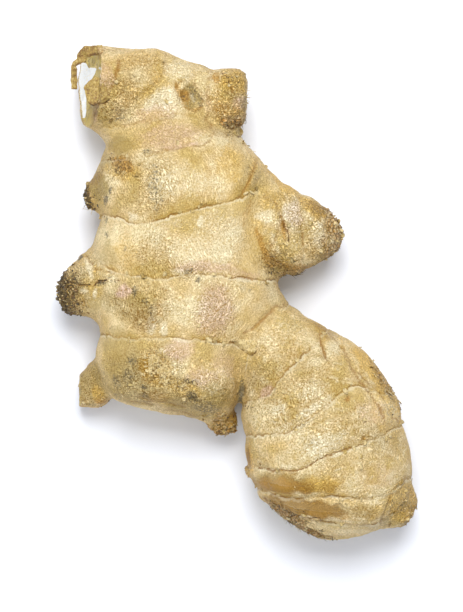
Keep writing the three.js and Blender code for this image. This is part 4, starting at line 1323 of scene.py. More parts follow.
@dataclass
class Crumbs:
    """Grit and crumbs of dry skin: rough balls of twenty faces, pressed half into the skin."""

    surface: Surface
    seed: int = 11
    scattered: int = 130  # crumbs on the crust, past the heaps

    def build(self, material: Material) -> Object:
        """Makes every crumb as one object.

        A crumb is an icosahedron whose corners move in or out at random, stretched and turned.

        Args:
            material: Their finish, which reads "dark".

        Returns:
            The object.
        """
        draw = np.random.default_rng(self.seed)
        spots, sizes, dark = self._spots(draw)
        count = len(spots)
        ball, faces = self._ball()
        shape = ball[None] * draw.uniform(0.6, 1.25, (count, len(ball), 1))
        shape *= (sizes[:, None] * draw.uniform(0.35, 1.2, (count, 3)))[:, None]
        turn, _ = np.linalg.qr(draw.normal(size=(count, 3, 3)))
        turn *= np.linalg.det(turn)[:, None, None]
        shape = np.einsum("nij,nkj->nki", turn, shape)
        centre = self.surface.points[spots] - self.surface.normals[spots] * (0.05 * sizes)[:, None]
        points = (shape + centre[:, None]).reshape(-1, 3)
        start = np.arange(count)[:, None, None] * len(ball)
        faces = (start + faces).reshape(-1, 3).tolist()
        piece = place_mesh("crumbs", points, faces, np.repeat(dark, len(ball)), material)
        piece.data.shade_flat()
        return piece

    def _spots(self, draw: np.random.Generator) -> tuple[Array, Array, Array]:
        """Numbers of the skin points under the crumbs, and the crumbs' sizes and darkness."""
        spots, sizes, dark = [], [], []
        for heap in HEAPS:
            spots.append(self.surface.spots_round(draw, heap, fall=1.4, reach=1.6, tilt=-0.35))
            sizes.append(heap.size * draw.uniform(0.35, 1.0, heap.count))
            dark.append(heap.dark + draw.normal(0, 0.12 + 0.4 * heap.dark, heap.count))
        looks, count = self.surface.looks, self.scattered
        crust = looks["crust"] ** 2
        spots.append(draw.choice(len(crust), count, p=crust / crust.sum()))
        sizes.append(draw.uniform(0.1, 0.27, count))
        dark.append(looks["char"][spots[-1]] + draw.normal(0, 0.25, count))
        return tuple(np.concatenate(rows) for rows in (spots, sizes, dark))

    @staticmethod
    def _ball() -> tuple[Array, Array]:
        """An icosahedron: its corners are (0, 1, golden ratio) turned through the axes, at radius 1."""
        long = (1 + math.sqrt(5)) / 2
        signs = np.array([(1, 1), (1, -1), (-1, 1), (-1, -1)])
        base = np.column_stack([np.zeros(4), signs[:, 0], signs[:, 1] * long])
        corners = unit(np.vstack([base, np.roll(base, 1, 1), np.roll(base, 2, 1)]))
        gaps = np.linalg.norm(corners[:, None] - corners[None], axis=2)
        beside = (gaps > 0.1) & (gaps < 1.1)
        faces = [
            (a, b, c)
            for a in range(12) for b in range(a + 1, 12) for c in range(b + 1, 12)
            if beside[a, b] and beside[b, c] and beside[a, c]
        ]
        faces = np.array(faces)
        one, two, three = (corners[faces[:, k]] for k in range(3))
        inward = (np.cross(two - one, three - one) * one).sum(1) < 0
        faces[inward] = faces[inward][:, ::-1]
        return corners, faces


@dataclass
class Flakes:
    """Papery flakes that lift off the ring scars and the crust."""

    surface: Surface
    count: int = 230
    stations: int = 5
    corners: int = 6
    sunk: float = 0.12  # how far a flake's root lies in the skin
    fray: float = 0.048
    seed: int = 23

    def build(self, material: Material) -> Object:
        """Makes every flake as one object.

        A flake's middle line leaves the skin along a slanting direction and curls up with the
        square of the way. Its width swells and then narrows as a half sine.

        Args:
            material: Their finish, which reads "dark".

        Returns:
            The object.
        """
        draw = np.random.default_rng(self.seed)
        looks, normals = self.surface.looks, self.surface.normals
        scars = hump(looks["edge"] + 0.3, 0.35) * np.clip(looks["line"], 0, 1)
        chance = (scars + 0.2 * looks["crust"] + 0.12 * looks["rough"]) * (normals[:, 2] > -0.2)
        spots = draw.choice(len(normals), self.count, p=chance / chance.sum())
        up = normals[spots]
        flow = unit(np.cross(np.cross(up, draw.normal(size=(self.count, 3)) + (0, -0.8, 0)), up))
        length = draw.uniform(0.5, 1.5, (self.count, 1, 1))
        width = draw.uniform(0.25, 0.8, (self.count, 1, 1))
        way = np.linspace(0, 1, self.stations)[None, :, None]
        curl = draw.uniform(0.15, 0.8, (self.count, 1, 1))
        root = self.surface.points[spots][:, None] - up[:, None] * self.sunk
        centre = root + flow[:, None] * length * way + up[:, None] * (0.1 + curl * way**2)
        side = np.cross(flow, up)[:, None] * width * np.sin(math.pi * (0.2 + 0.72 * way)) ** 0.7
        rise = up[:, None] * (0.06 - 0.03 * way)
        points, faces = swept(centre, side, rise, self.corners)
        points = points + self.fray * draw.normal(size=points.shape)
        dark = looks["char"][spots] + draw.normal(0.12, 0.2, self.count)
        dark = np.repeat(dark, self.stations * self.corners)
        return place_mesh("skin_flakes", points, faces, dark, material)


@dataclass(frozen=True)
class Tuft:
    """A place where root hairs stand: middle, radius, number, length in mm and way they lean."""

    x: float
    y: float
    radius: float
    count: int
    length: float
    lean: tuple[float, float, float]
    dark: float = 0.4


TUFTS = [
    Tuft(*row) for row in (
        (2.6, 49.4, 1.6, 10, 2, (1, 0.2, 0)), (-1.4, 42.8, 1.8, 46, 1.7, (0.2, -0.6, 0.5)),
        (-28.2, 32.2, 2.4, 90, 1.6, (0.35, -1, 0.1), 0.55), (-31, 33.8, 1, 24, 1, (0.8, -0.6, 0.1), 0.7),
        (-30.5, 49, 3.6, 50, 1.6, (0.5, -0.6, 0.3)), (-35, 50, 1.8, 24, 1.5, (0.6, -0.5, 0.2)),
        (-35.6, 60.6, 2.8, 24, 1.4, (-0.6, 0.2, 0.3)), (10, -54.5, 3, 60, 1.8, (0.8, -0.8, 0), 0.6),
        (13.5, -57, 3.4, 90, 2, (0.8, -0.6, 0), 0.6), (18.5, -59.2, 3, 60, 1.7, (0.8, -0.45, 0), 0.6),
        (-36.6, 21.4, 1.4, 12, 1.6, (-0.6, -0.6, 0)), (9.8, 9, 2.6, 90, 2, (1, -0.35, 0), 0.4),
        (14, 6.2, 2.4, 40, 1.5, (1, 0.1, 0), 0.6), (0.6, 46, 2.4, 40, 1.5, (0.3, -1, 0), 0.5),
        (-38.4, 2.4, 0.5, 9, 0.9, (1, -0.1, 0), 0.95), (-36.9, 2.2, 0.5, 9, 0.9, (1, 0.1, 0), 0.95),
        (-34.2, 2.8, 0.5, 12, 1, (1, 0.2, 0), 0.95), (-33.2, 3, 0.5, 12, 1, (1, 0.2, 0), 0.95),
        (-31.4, 3.1, 0.4, 6, 0.7, (1, 0.1, 0), 0.95), (-29.8, 3.2, 0.4, 4, 0.6, (1, 0, 0), 0.9),
        (39, -25, 2.6, 20, 1.2, (0.6, -0.6, 0.2)),
    )
]


@dataclass
class Hairs:
    """Stiff brown fibres of old roots and leaf scars, most of them lying on the skin."""

    surface: Surface
    radius: float = 0.07
    stations: int = 5
    corners: int = 4
    seed: int = 31

    def build(self, material: Material) -> Object:
        """Makes every hair as one object.

        A hair starts on the skin and runs along its tuft's lean, bent by a random sideways
        curve that grows with the square of the way. It thins to a quarter at its end.

        Args:
            material: Their finish, which reads "dark".

        Returns:
            The object.
        """
        draw = np.random.default_rng(self.seed)
        spots, leans, lengths, dark = [], [], [], []
        for tuft in TUFTS:
            spots.append(self.surface.spots_round(draw, tuft, fall=1.0, reach=1.8, tilt=-0.2))
            leans.append(np.array(tuft.lean) + draw.normal(0, 0.35, (tuft.count, 3)))
            lengths.append(tuft.length * draw.uniform(0.5, 1.2, tuft.count))
            dark.append(draw.normal(tuft.dark, 0.25, tuft.count))
        spots, leans, lengths, dark = (np.concatenate(rows) for rows in (spots, leans, lengths, dark))
        up = self.surface.normals[spots]
        tilt = draw.uniform(0.05, 0.4, (len(spots), 1))
        flow = unit(leans - (leans * up).sum(1)[:, None] * up * (1 - tilt) + 0.12 * up)
        side = unit(np.cross(flow, up))
        rise = np.cross(side, flow)
        way = np.linspace(0, 1, self.stations)[None, :, None]
        bend = draw.normal(0, 0.3, (len(spots), 1, 1))
        centre = self.surface.points[spots][:, None] + up[:, None] * (0.04 - 0.1 * (1 - way) ** 4)
        run = flow[:, None] * way + bend * side[:, None] * way**2
        centre = centre + lengths[:, None, None] * run
        thin = self.radius * (1 - 0.75 * way) * draw.uniform(0.6, 1.3, (len(spots), 1, 1))
        tubes, faces = swept(centre, side[:, None] * thin, rise[:, None] * thin, self.corners)
        dark = np.repeat(dark, self.stations * self.corners)
        return place_mesh("root_hairs", tubes, faces, dark, material)


@dataclass(frozen=True)
class Strip:
    """A strip of skin that stands off the crown's rim, as a rounded box section along a path."""

    name: str
    path: tuple[tuple[float, float, float], ...]
    half_width: float
    half_thickness: float
    stations: int = 60
    corners: int = 12

    def build(self, grain: Grain, material: Material) -> Object:
        """Makes the strip: its section follows the smooth path and noise dents it.

        Args:
            grain: Noise that dents it.
            material: Its finish, which reads "dark".

        Returns:
            The object.
        """
        nodes = np.array(self.path)
        centre = catmull(nodes, np.linspace(0, len(nodes) - 1, self.stations))
        flow = unit(np.gradient(centre, axis=0))
        up = np.array([0.25, 0.1, 1.0])
        rise = unit(up - (flow @ up)[:, None] * flow)
        side = np.cross(flow, rise)
        swell = 1 + 0.5 * grain.soft(centre + 4, 1.7)[:, None]
        wide = (side * self.half_width * swell)[None]
        thick = (rise * self.half_thickness * swell)[None]
        points, faces = swept(centre[None], wide, thick, self.corners, 0.6)
        points = points + 0.2 * np.column_stack([grain.soft(points + k, 0.9) for k in (2, 19, 47)])
        dark = 0.42 + 0.55 * grain.soft(points * (0.6, 1.4, 1.4), 1.2)
        return place_mesh(self.name, points, faces, dark, material)


STRIPS = [
    Strip(
        "peeled_strip",
        (
            (-37.8, 58.9, 20.4), (-39.2, 58.0, 20.5), (-40.0, 57.5, 20.4), (-40.4, 56.9, 20.2),
            (-40.4, 55.8, 19.8), (-40.4, 53.4, 19.1), (-40.4, 51.2, 18.5),
        ),
        0.82, 0.26,
    ),
    Strip(
        "rolled_rim",
        (
            (-38.5, 57.8, 19.2), (-38.3, 59.4, 19.4), (-37.4, 60.3, 19.8), (-36.0, 60.6, 20.4),
            (-34.6, 60.7, 20.8), (-33.4, 60.8, 20.4),
        ),
        1.25, 0.5, 90, 16,
    ),
    Strip(
        "curled_edge",
        (
            (-32.9, 50.6, 24.6), (-32.6, 51.5, 25.4), (-31.9, 51.8, 25.6), (-31.2, 51.4, 25.4),
            (-31.0, 50.8, 24.8),
        ),
        0.35, 0.3, 30, 8,
    ),
]


@dataclass(frozen=True)
class Flap:
    """A plate of dry skin that stands off the hand: its outline from above and its thickness."""

    name: str
    outline: tuple[tuple[float, float], ...]
    lift: float
    thickness: float = 0.35
    dark: float = 0.4
    level: float = 0.0  # height under which it doesn't sink
    rings: int = 16
    around: int = 120

    def build(self, surface: Surface, grain: Grain, material: Material) -> Object:
        """Makes the plate: its outline shrunk in rings to its middle, over the skin's height.

        The top of ring r, from 0 at the edge to 1 in the middle, stands over the skin's height by
        the lift times 0.4 + 0.6 * (1 - (1 - r)^2). The bottom is a thickness lower.

        Args:
            surface: The skin under it.
            grain: Noise that frays and dents it.
            material: Its finish, which reads "dark".

        Returns:
            The object.
        """
        corners = np.array([*self.outline, self.outline[0]])
        edge = catmull(corners, np.linspace(0, len(corners) - 1, self.around + 1)[:-1])
        middle = edge.mean(0)
        share = np.linspace(0, 0.97, self.rings)
        flat = middle + (edge - middle)[None] * (1 - share)[:, None, None]
        spots = np.dstack([flat, np.zeros(flat.shape[:2])]).reshape(-1, 3)
        frays = [grain.soft(spots + k, 1.3).reshape(self.rings, -1) for k in (7, 13)]
        flat = flat + 0.5 * np.dstack(frays)
        base = surface.heights(flat.reshape(-1, 2)).reshape(self.rings, -1)
        base = np.maximum(base, self.level)
        for _ in range(12):
            base = (np.roll(base, 1, 1) + base + np.roll(base, -1, 1)) / 3
        dome = (1 - (1 - share) ** 2)[:, None]
        ribs = grain.soft(spots @ np.array([[1.6, 0.5, 0], [0.9, -0.3, 0], [0, 0, 1]]), 0.8)
        dents = (0.3 * grain.soft(spots, 2.2) + 0.2 * ribs).reshape(self.rings, -1)
        top = np.dstack([flat, base + self.lift * (0.4 + 0.6 * dome) + dents])
        low = top - np.array([0, 0, self.thickness])
        rows = np.concatenate([low[::-1], top])
        points = rows.reshape(-1, 3)
        index = np.arange(len(points)).reshape(len(rows), -1)
        turned = np.roll(index, -1, 1)
        quads = np.stack([index[:-1], turned[:-1], turned[1:], index[1:]], -1).reshape(-1, 4)
        faces = quads.tolist() + [index[0, ::-1].tolist(), index[-1].tolist()]
        tall = np.ptp(edge[:, 1])
        # Painted shadow: the plate grows darker towards its edge at lower y
        foot = smoothstep(middle[1] - points[:, 1], 0.4 * tall - 0.6, 0.5 * tall)
        dark = self.dark + 0.3 * foot + 0.25 * grain.soft(points, 0.7)
        return place_mesh(self.name, points, faces, dark, material)


FLAPS = [
    Flap(
        "crown_flap",
        (
            (-37.7, 51.2), (-36.6, 52.8), (-35.0, 53.8), (-33.4, 53.2), (-31.8, 50.6), (-31.4, 48.4),
            (-33.4, 47.2), (-35.8, 46.8), (-37.1, 48.4),
        ),
        0.5, 0.5, 0.4, 25.6,
    ),
    Flap(
        "ring_six_flap",
        ((-0.6, -12.0), (1.8, -11.0), (4.6, -11.6), (5.0, -13.6), (3.6, -15.0), (1.6, -13.7)),
        0.3, 0.3, 0.1,
    ),
    Flap(
        "shoulder_flake", ((-0.6, 40.9), (0.8, 41.6), (1.6, 40.4), (0.8, 39.2), (-0.4, 39.8)),
        0.5, 0.3, 0.3,
    ),
]


# Meshes in and out of Blender


def read_points(mesh: Mesh) -> Array:
    """The mesh's points in mm."""
    flat = np.empty(len(mesh.vertices) * 3)
    mesh.vertices.foreach_get("co", flat)
    return flat.reshape(-1, 3) / METRES


def read_edges(mesh: Mesh) -> Array:
    """The mesh's edges as pairs of point numbers."""
    pairs = np.empty(len(mesh.edges) * 2, int)
    mesh.edges.foreach_get("vertices", pairs)
    return pairs.reshape(-1, 2)


def write_points(mesh: Mesh, points: Array) -> None:
    """Moves the mesh's points, given in metres."""
    mesh.vertices.foreach_set("co", points.ravel())
    mesh.update()


def write_attribute(mesh: Mesh, name: str, values: Array) -> None:
    """Stores one number or one vector a point under a name."""
    kind, key = ("FLOAT", "value") if values.ndim == 1 else ("FLOAT_VECTOR", "vector")
    layer = mesh.attributes.new(name, kind, "POINT")
    layer.data.foreach_set(key, values.astype(np.float32).ravel())


def relax(points: Array, edges: Array, weights: Array, passes: int) -> Array:
    """Draws points towards the average of their neighbours, again and again.

    Args:
        points: (n, 3) array.
        edges: (m, 2) pairs of neighbours.
        weights: (n,) share of the way that each point goes in a pass.
        passes: How many times.

    Returns:
        The moved points.
    """
    one, two = edges.T
    count = len(points)
    degree = np.bincount(one, minlength=count) + np.bincount(two, minlength=count)
    moving = weights > 0
    for _ in range(passes):
        total = np.column_stack([
            np.bincount(one, points[two, k], count) + np.bincount(two, points[one, k], count)
            for k in range(3)
        ])
        drawn = total / degree[:, None] - points
        points = points + np.where(moving, weights, 0)[:, None] * drawn
    return points


def point_normals(mesh: Mesh, points: Array) -> Array:
    """Unit normals at the points: the sum of the crossed diagonals of the faces that meet there."""
    corners = np.empty(len(mesh.loops), int)
    mesh.loops.foreach_get("vertex_index", corners)
    quads = corners.reshape(-1, 4)
    first, second, third, fourth = (points[quads[:, c]] for c in range(4))
    cross = np.cross(third - first, fourth - second)
    total = np.column_stack([
        sum(np.bincount(quads[:, c], cross[:, k], len(points)) for c in range(4)) for k in range(3)
    ])
    return total / np.linalg.norm(total, axis=1)[:, None]


# Finishes


def linear(red: int, green: int, blue: int) -> tuple[float, float, float, float]:
    """A colour from 0 to 255, as seen on a level sheet under the studio's light, made linear."""
    share = np.array([red, green, blue]) / 255
    straight = np.where(share <= 0.04045, share / 12.92, ((share + 0.055) / 1.055) ** 2.4) * SHEET_SHARE
    return (*straight.tolist(), 1.0)


Value = Socket | float | tuple


class Graph:
    """Builds a node tree by calls, each of which returns the new node's output socket."""

    def __init__(self, tree: NodeTree) -> None:
        """Starts with a tree."""
        self.tree = tree

    def link(self, source: Value, target: Socket) -> None:
        """Feeds an input from another node's output, or sets its value."""
        if isinstance(source, Socket):
            self.tree.links.new(source, target)
        else:
            target.default_value = source

    def node(self, kind: str, inputs: dict | None = None, **settings) -> Node:
        """Adds one node.

        Args:
            kind: The node's type name.
            inputs: Socket name or number to a value or another node's output.
            **settings: The node's own properties.

        Returns:
            The node.
        """
        made = self.tree.nodes.new(kind)
        for key, value in settings.items():
            setattr(made, key, value)
        for key, value in (inputs or {}).items():
            self.link(value, made.inputs[key])
        return made

    def math(self, operation: str, *values: Value, clamp: bool = False) -> Socket:
        """A Math node."""
        sockets = dict(enumerate(values))
        return self.node("ShaderNodeMath", sockets, operation=operation, use_clamp=clamp).outputs[0]

    def add(self, one: Value, two: Value) -> Socket:
        """The sum of two values."""
        return self.math("ADD", one, two)

    def less(self, one: Value, two: Value, clamp: bool = False) -> Socket:
        """The first value less the second."""
        return self.math("SUBTRACT", one, two, clamp=clamp)

    def times(self, product: Value, *factors: Value, clamp: bool = False) -> Socket:
        """The product of all the values."""
        for factor in factors:
            product = self.math("MULTIPLY", product, factor, clamp=clamp)
        return product

    def scaled(self, where: Socket, factors: tuple[float, float, float]) -> Socket:
        """A vector with each of its numbers scaled."""
        return self.node("ShaderNodeVectorMath", {0: where, 1: factors}, operation="MULTIPLY").outputs[0]

    def mix(self, share: Value, under: Value, over: Value, blend: str = "MIX") -> Socket:
        """A colour mix."""
        sockets = {0: share, 6: under, 7: over}
        return self.node("ShaderNodeMix", sockets, data_type="RGBA", blend_type=blend).outputs[2]

    def paint(self, under: Value, over: Value, *shares: Value) -> Socket:
        """A colour over another, by the product of the shares."""
        return self.mix(self.times(*shares), under, over)

    def step(
        self, value: Value, low: float, high: float, to_low: float = 0.0, to_high: float = 1.0
    ) -> Socket:
        """Eases a value from one range to another."""
        sockets = {"Value": value, "From Min": low, "From Max": high, "To Min": to_low, "To Max": to_high}
        return self.node("ShaderNodeMapRange", sockets, interpolation_type="SMOOTHSTEP").outputs[0]

    def band(self, value: Value, start: float, full: float, fade: float, end: float) -> Socket:
        """1 where a value lies from `full` to `fade`, easing to 0 at `start` and at `end`."""
        return self.times(self.step(value, start, full), self.step(value, end, fade))

    def noise(self, where: Socket, scale: float, detail: float = 2.0, rough: float = 0.5) -> Socket:
        """Fractal noise from 0 to 1, with `scale` lumps a mm."""
        sockets = {"Vector": where, "Scale": scale, "Detail": detail, "Roughness": rough}
        return self.node("ShaderNodeTexNoise", sockets).outputs[0]

    def cracks(self, where: Socket, scale: float) -> Socket:
        """The distance to the nearest edge between cells, with `scale` cells a mm."""
        sockets = {"Vector": where, "Scale": scale}
        return self.node("ShaderNodeTexVoronoi", sockets, feature="DISTANCE_TO_EDGE").outputs["Distance"]

    def read(self, name: str, output: str = "Fac") -> Socket:
        """A named attribute of the mesh."""
        return self.node("ShaderNodeAttribute", attribute_name=name).outputs[output]

    def ramp(self, value: Value, *stops: tuple[float, tuple]) -> Socket:
        """A colour ramp through places and their colours, in rising order."""
        made = self.node("ShaderNodeValToRGB", {0: value})
        ends = made.color_ramp.elements
        for place, _ in stops[2:]:
            ends.new(place)
        for end, (place, colour) in zip(ends, stops):
            end.position = place
            end.color = colour
        return made.outputs[0]

    def finish(self, height: Value, distance: float, **inputs: Value) -> None:
        """Ends a material: a bump of a distance in mm, the Principled shader and the output.

        Args:
            height: The relief, from 0 to 1.
            distance: Its full height in mm.
            **inputs: The shader's sockets, with _ for each space in a name.
        """
        bump = self.node("ShaderNodeBump", {"Distance": distance * METRES, "Height": height})
        sockets = {name.replace("_", " "): value for name, value in inputs.items()}
        shader = self.node("ShaderNodeBsdfPrincipled", {**sockets, "Normal": bump.outputs[0]})
        self.node("ShaderNodeOutputMaterial", {0: shader.outputs[0]})


@dataclass(frozen=True)
class DryGrain:
    """Fine grain of dry ginger skin: thin worm-like valleys, stretched along the limb where it grew.

    The valleys lie where a noise crosses a half. Scales are lumps a mm.
    """

    fine: float = 1.5
    lines: float = 1.15
    stretch: tuple[float, float, float] = (1.9, 0.55, 1.0)  # round and along the limb
    regions: float = 0.16
    dusty: float = 2.6
    dust: float = 0.45  # how far dust breaks the valleys up
    rough: float = 0.6

    def group(self) -> NodeTree:
        """Makes the node group.

        Returns:
            A group with inputs Place and Strips in mm and Streak, and outputs Dark, Light and Height.
        """
        tree = bpy.data.node_groups.new("dry_skin_grain", "ShaderNodeTree")
        for name in ("Place", "Strips"):
            tree.interface.new_socket(name, in_out="INPUT", socket_type="NodeSocketVector")
        tree.interface.new_socket("Streak", in_out="INPUT", socket_type="NodeSocketFloat")
        for name in ("Dark", "Light", "Height"):
            tree.interface.new_socket(name, in_out="OUTPUT", socket_type="NodeSocketFloat")
        graph = Graph(tree)
        given = graph.node("NodeGroupInput").outputs
        wanted = graph.node("NodeGroupOutput").inputs
        fine = graph.noise(given["Place"], self.fine, 2, self.rough)
        lines = graph.noise(graph.scaled(given["Strips"], self.stretch), self.lines, 2, self.rough)
        region = graph.step(graph.noise(given["Place"], self.regions, 2), 0.38, 0.56)
        streaked = graph.times(region, given["Streak"])
        both = graph.node("ShaderNodeMix", {0: streaked, 2: fine, 3: lines}).outputs[0]
        away = graph.math("ABSOLUTE", graph.less(both, 0.5))
        dust = graph.less(graph.noise(given["Place"], self.dusty, 1, self.rough), 0.5)
        raised = graph.add(away, graph.times(dust, self.dust))
        graph.link(graph.step(raised, 0.045, -0.035), wanted["Dark"])
        graph.link(graph.step(raised, 0.06, 0.18), wanted["Light"])
        graph.link(graph.step(raised, -0.02, 0.16), wanted["Height"])
        return tree


def new_material(name: str, grain: NodeTree) -> tuple[Material, Graph, Socket, Node]:
    """An empty material that has the fine grain in it.

    Args:
        name: The material's name.
        grain: The fine grain's group.

    Returns:
        The material, its graph, the place on the part in mm and the grain's node.
    """
    made = bpy.data.materials.new(name)
    made.use_nodes = True
    made.node_tree.nodes.clear()
    graph = Graph(made.node_tree)
    place = graph.scaled(graph.node("ShaderNodeTexCoord").outputs["Object"], (1 / METRES,) * 3)
    fine = graph.node("ShaderNodeGroup", node_tree=grain)
    graph.link(place, fine.inputs["Place"])
    return made, graph, place, fine


@dataclass(frozen=True)
class Coat:
    """What every layer of the skin's colour reads."""

    graph: Graph
    place: Socket  # on the part, in mm
    dark: Socket  # valleys of the fine grain
    speck: Socket  # fine noise from 0 to 1
    wander: Socket  # the same noise round zero
    colour: dict[str, tuple]

    def jagged(self, name: str, amount: float) -> Socket:
        """An attribute plus some of the fine noise."""
        return self.graph.add(self.graph.read(name), self.graph.times(self.wander, amount))

    def frayed(self, cover: Socket, amount: float) -> Socket:
        """A cover plus some of the fine noise, but only where there is some cover."""
        loose = self.graph.times(self.wander, self.graph.times(cover, 4.0, clamp=True))
        return self.graph.add(cover, self.graph.times(loose, amount))


# Attribute, colour, strongest cover and fraying of the marks that lie on the skin, lowest first
# The pale marks paint cream highlights as well as pale skin
STAINED = [
    ("tone", "brown", 0.85, 1.0), ("tan", "dull", 0.85, 1.2), ("gold", "gold", 0.8, 1.2),
    ("pale", "cream", 0.7, 1.4), ("amber", "amber", 0.92, 1.4), ("pink", "pink", 0.7, 1.0),
    ("brown", "brown", 0.92, 2.0), ("grey", "grey", 0.85, 3.4),
]


@dataclass(frozen=True)
class SkinFinish:
    """Colours, relief and gloss of the skin. Colours from 0 to 255 are as they are seen."""

    pale: tuple[int, int, int] = (237, 217, 169)
    tan: tuple[int, int, int] = (224, 196, 140)
    khaki: tuple[int, int, int] = (206, 176, 106)
    dull: tuple[int, int, int] = (170, 144, 82)
    pink: tuple[int, int, int] = (222, 184, 166)
    grey: tuple[int, int, int] = (96, 88, 70)
    amber: tuple[int, int, int] = (150, 108, 30)
    brown: tuple[int, int, int] = (186, 140, 64)
    shade: tuple[int, int, int] = (170, 130, 62)
    scar: tuple[int, int, int] = (146, 98, 36)
    char: tuple[int, int, int] = (38, 33, 25)
    ochre: tuple[int, int, int] = (196, 158, 68)
    rind: tuple[int, int, int] = (222, 196, 104)
    rust: tuple[int, int, int] = (214, 152, 70)
    gold: tuple[int, int, int] = (219, 178, 88)
    cream: tuple[int, int, int] = (252, 240, 204)
    flesh: tuple[int, int, int] = (255, 255, 250)
    plain_gain: tuple[float, ...] = (1.0, 1.0, 1.0, 1.0)
    # The two gains below paint light on the grain: paler flecks and a painted highlight on its ridges, dark
    # specks and painted shade in its valleys
    light_gain: tuple[float, ...] = (1.33, 1.36, 1.5, 1.0)  # on the ridges of the grain
    dark_gain: tuple[float, ...] = (0.46, 0.36, 0.18, 1.0)  # in its valleys
    # Painted shade: the gain that darkens the skin where it turns away from the view
    grazing_shade_gain: tuple[float, ...] = (0.95, 0.9, 0.76, 1.0)  # where the skin turns away
    sheen: tuple[float, ...] = (1.0, 0.88, 0.62, 1.0)
    broad_scale: float = 0.11  # lumps a mm of the patches, the specks, the pits and the scabs
    patch_scale: float = 0.5
    speck_scale: float = 1.7
    pit_scale: float = 1.25
    scab_scale: float = 0.85
    contrast: float = 0.7  # how strong the grain is on plain skin
    rough_contrast: float = 0.6  # how much stronger on rough skin
    smooth_contrast: float = 0.35  # how much weaker on smooth skin
    grain_depth: float = 0.5  # shares of the bump's distance
    pit_depth: float = 0.3
    line_depth: float = 0.35
    flesh_depth: float = 0.35
    bump_mm: float = 0.5
    roughness: float = 0.48
    specular: float = 0.3

    def colours(self) -> dict[str, tuple]:
        """The finish's colours by name, as a shader wants them."""
        shades = {key: value for key, value in self.__dict__.items() if isinstance(value, tuple)}
        return {key: linear(*value) for key, value in shades.items() if len(value) == 3}

    def material(self, grain: NodeTree) -> Material:
        """Makes the skin's material.

        Args:
            grain: The fine grain's group.

        Returns:
            The material.
        """
        made, graph, place, fine = new_material("dry_ginger_skin", grain)
        graph.link(graph.read("strips", "Vector"), fine.inputs["Strips"])
        graph.link(graph.read("streak"), fine.inputs["Streak"])
        speck = graph.noise(place, self.speck_scale, 4, 0.7)
        coat = Coat(graph, place, fine.outputs["Dark"], speck, graph.less(speck, 0.5), self.colours())
        base = self._stained(coat, self._ground(coat))
        contrast = graph.add(self.contrast, graph.times(graph.read("rough"), self.rough_contrast))
        contrast = graph.less(contrast, graph.times(graph.read("smooth"), self.smooth_contrast), clamp=True)
        # Painted highlight on the grain's ridges and painted shade in its valleys, over the skin's own flecks
        # and specks
        gain = graph.paint(self.plain_gain, self.light_gain, fine.outputs["Light"], contrast)
        gain = graph.paint(gain, self.dark_gain, coat.dark, contrast)
        base = graph.mix(1.0, base, gain, "MULTIPLY")
        # Painted shade: the colour turns darker and more golden where the skin turns away from the view
        facing = graph.node("ShaderNodeLayerWeight", {"Blend": 0.5}).outputs["Facing"]
        grazing_shade = graph.mix(graph.step(facing, 0.3, 0.95), self.plain_gain, self.grazing_shade_gain)
        base = graph.mix(1.0, base, grazing_shade, "MULTIPLY")
        pits = graph.times(graph.step(graph.noise(place, self.pit_scale), 0.35, 0.27), graph.read("rough"))
        base = graph.paint(base, coat.colour["scar"], pits, 0.6)
        base, line = self._scarred(coat, base)
        base, gap = self._crusted(coat, base)
        base, flesh = self._broken(coat, base)
        height = graph.times(fine.outputs["Height"], graph.times(contrast, self.grain_depth))
        height = graph.less(height, graph.times(pits, self.pit_depth))
        height = graph.less(height, graph.times(line, self.line_depth))
        height = graph.times(graph.less(height, gap), graph.step(flesh, 0, 1, 1.0, self.flesh_depth))
        rough = graph.step(speck, 0.3, 0.7, self.roughness + 0.15, self.roughness - 0.1)
        look = {"Base_Color": base, "Roughness": rough}
        graph.finish(height, self.bump_mm, Specular_IOR_Level=self.specular, Specular_Tint=self.sheen, **look)
        return made

    def _ground(self, coat: Coat) -> Socket:
        """The plain skin: broad and middling patches from khaki through tan to pale."""
        graph, colour = coat.graph, coat.colour
        patch = graph.noise(coat.place, self.patch_scale, 3, 0.6)
        mottle = graph.read("mottle")
        stops = ((0.36, colour["khaki"]), (0.5, colour["tan"]), (0.65, colour["pale"]))
        base = graph.ramp(graph.noise(coat.place, self.broad_scale), *stops)
        base = graph.paint(base, colour["pale"], graph.step(patch, 0.5, 0.7), mottle)
        base = graph.paint(base, colour["khaki"], graph.step(patch, 0.5, 0.32), mottle)
        # Khaki in the creases between limbs: painted shade, with the skin's own browner fold colour
        return graph.paint(base, colour["khaki"], graph.read("fold"), 0.35)

    @staticmethod
    def _stained(coat: Coat, base: Socket) -> Socket:
        """The marks' colours over the skin, each with an edge that fine noise frays."""
        for name, tint, most, fray in STAINED:
            cover = coat.graph.step(coat.frayed(coat.graph.read(name), fray), 0.1, 1.0, 0.0, most)
            base = coat.graph.mix(cover, base, coat.colour[tint])
        return base

    @staticmethod
    def _scarred(coat: Coat, base: Socket) -> tuple[Socket, Socket]:
        """Ring scars and seams: a thin broken line, brown above it and cream below it, partly the scales' own
        colour and partly painted shade above the line and a painted highlight on the lip below it.

        Args:
            coat: What the layers read.
            base: The colour so far.

        Returns:
            The colour with the lines, and how deep a line or a crack is.
        """
        graph, colour = coat.graph, coat.colour
        edge = coat.jagged("edge", 0.9)
        strong = graph.times(graph.read("line"), 0.9, clamp=True)
        full = graph.times(graph.read("line"), 1.0, clamp=True)
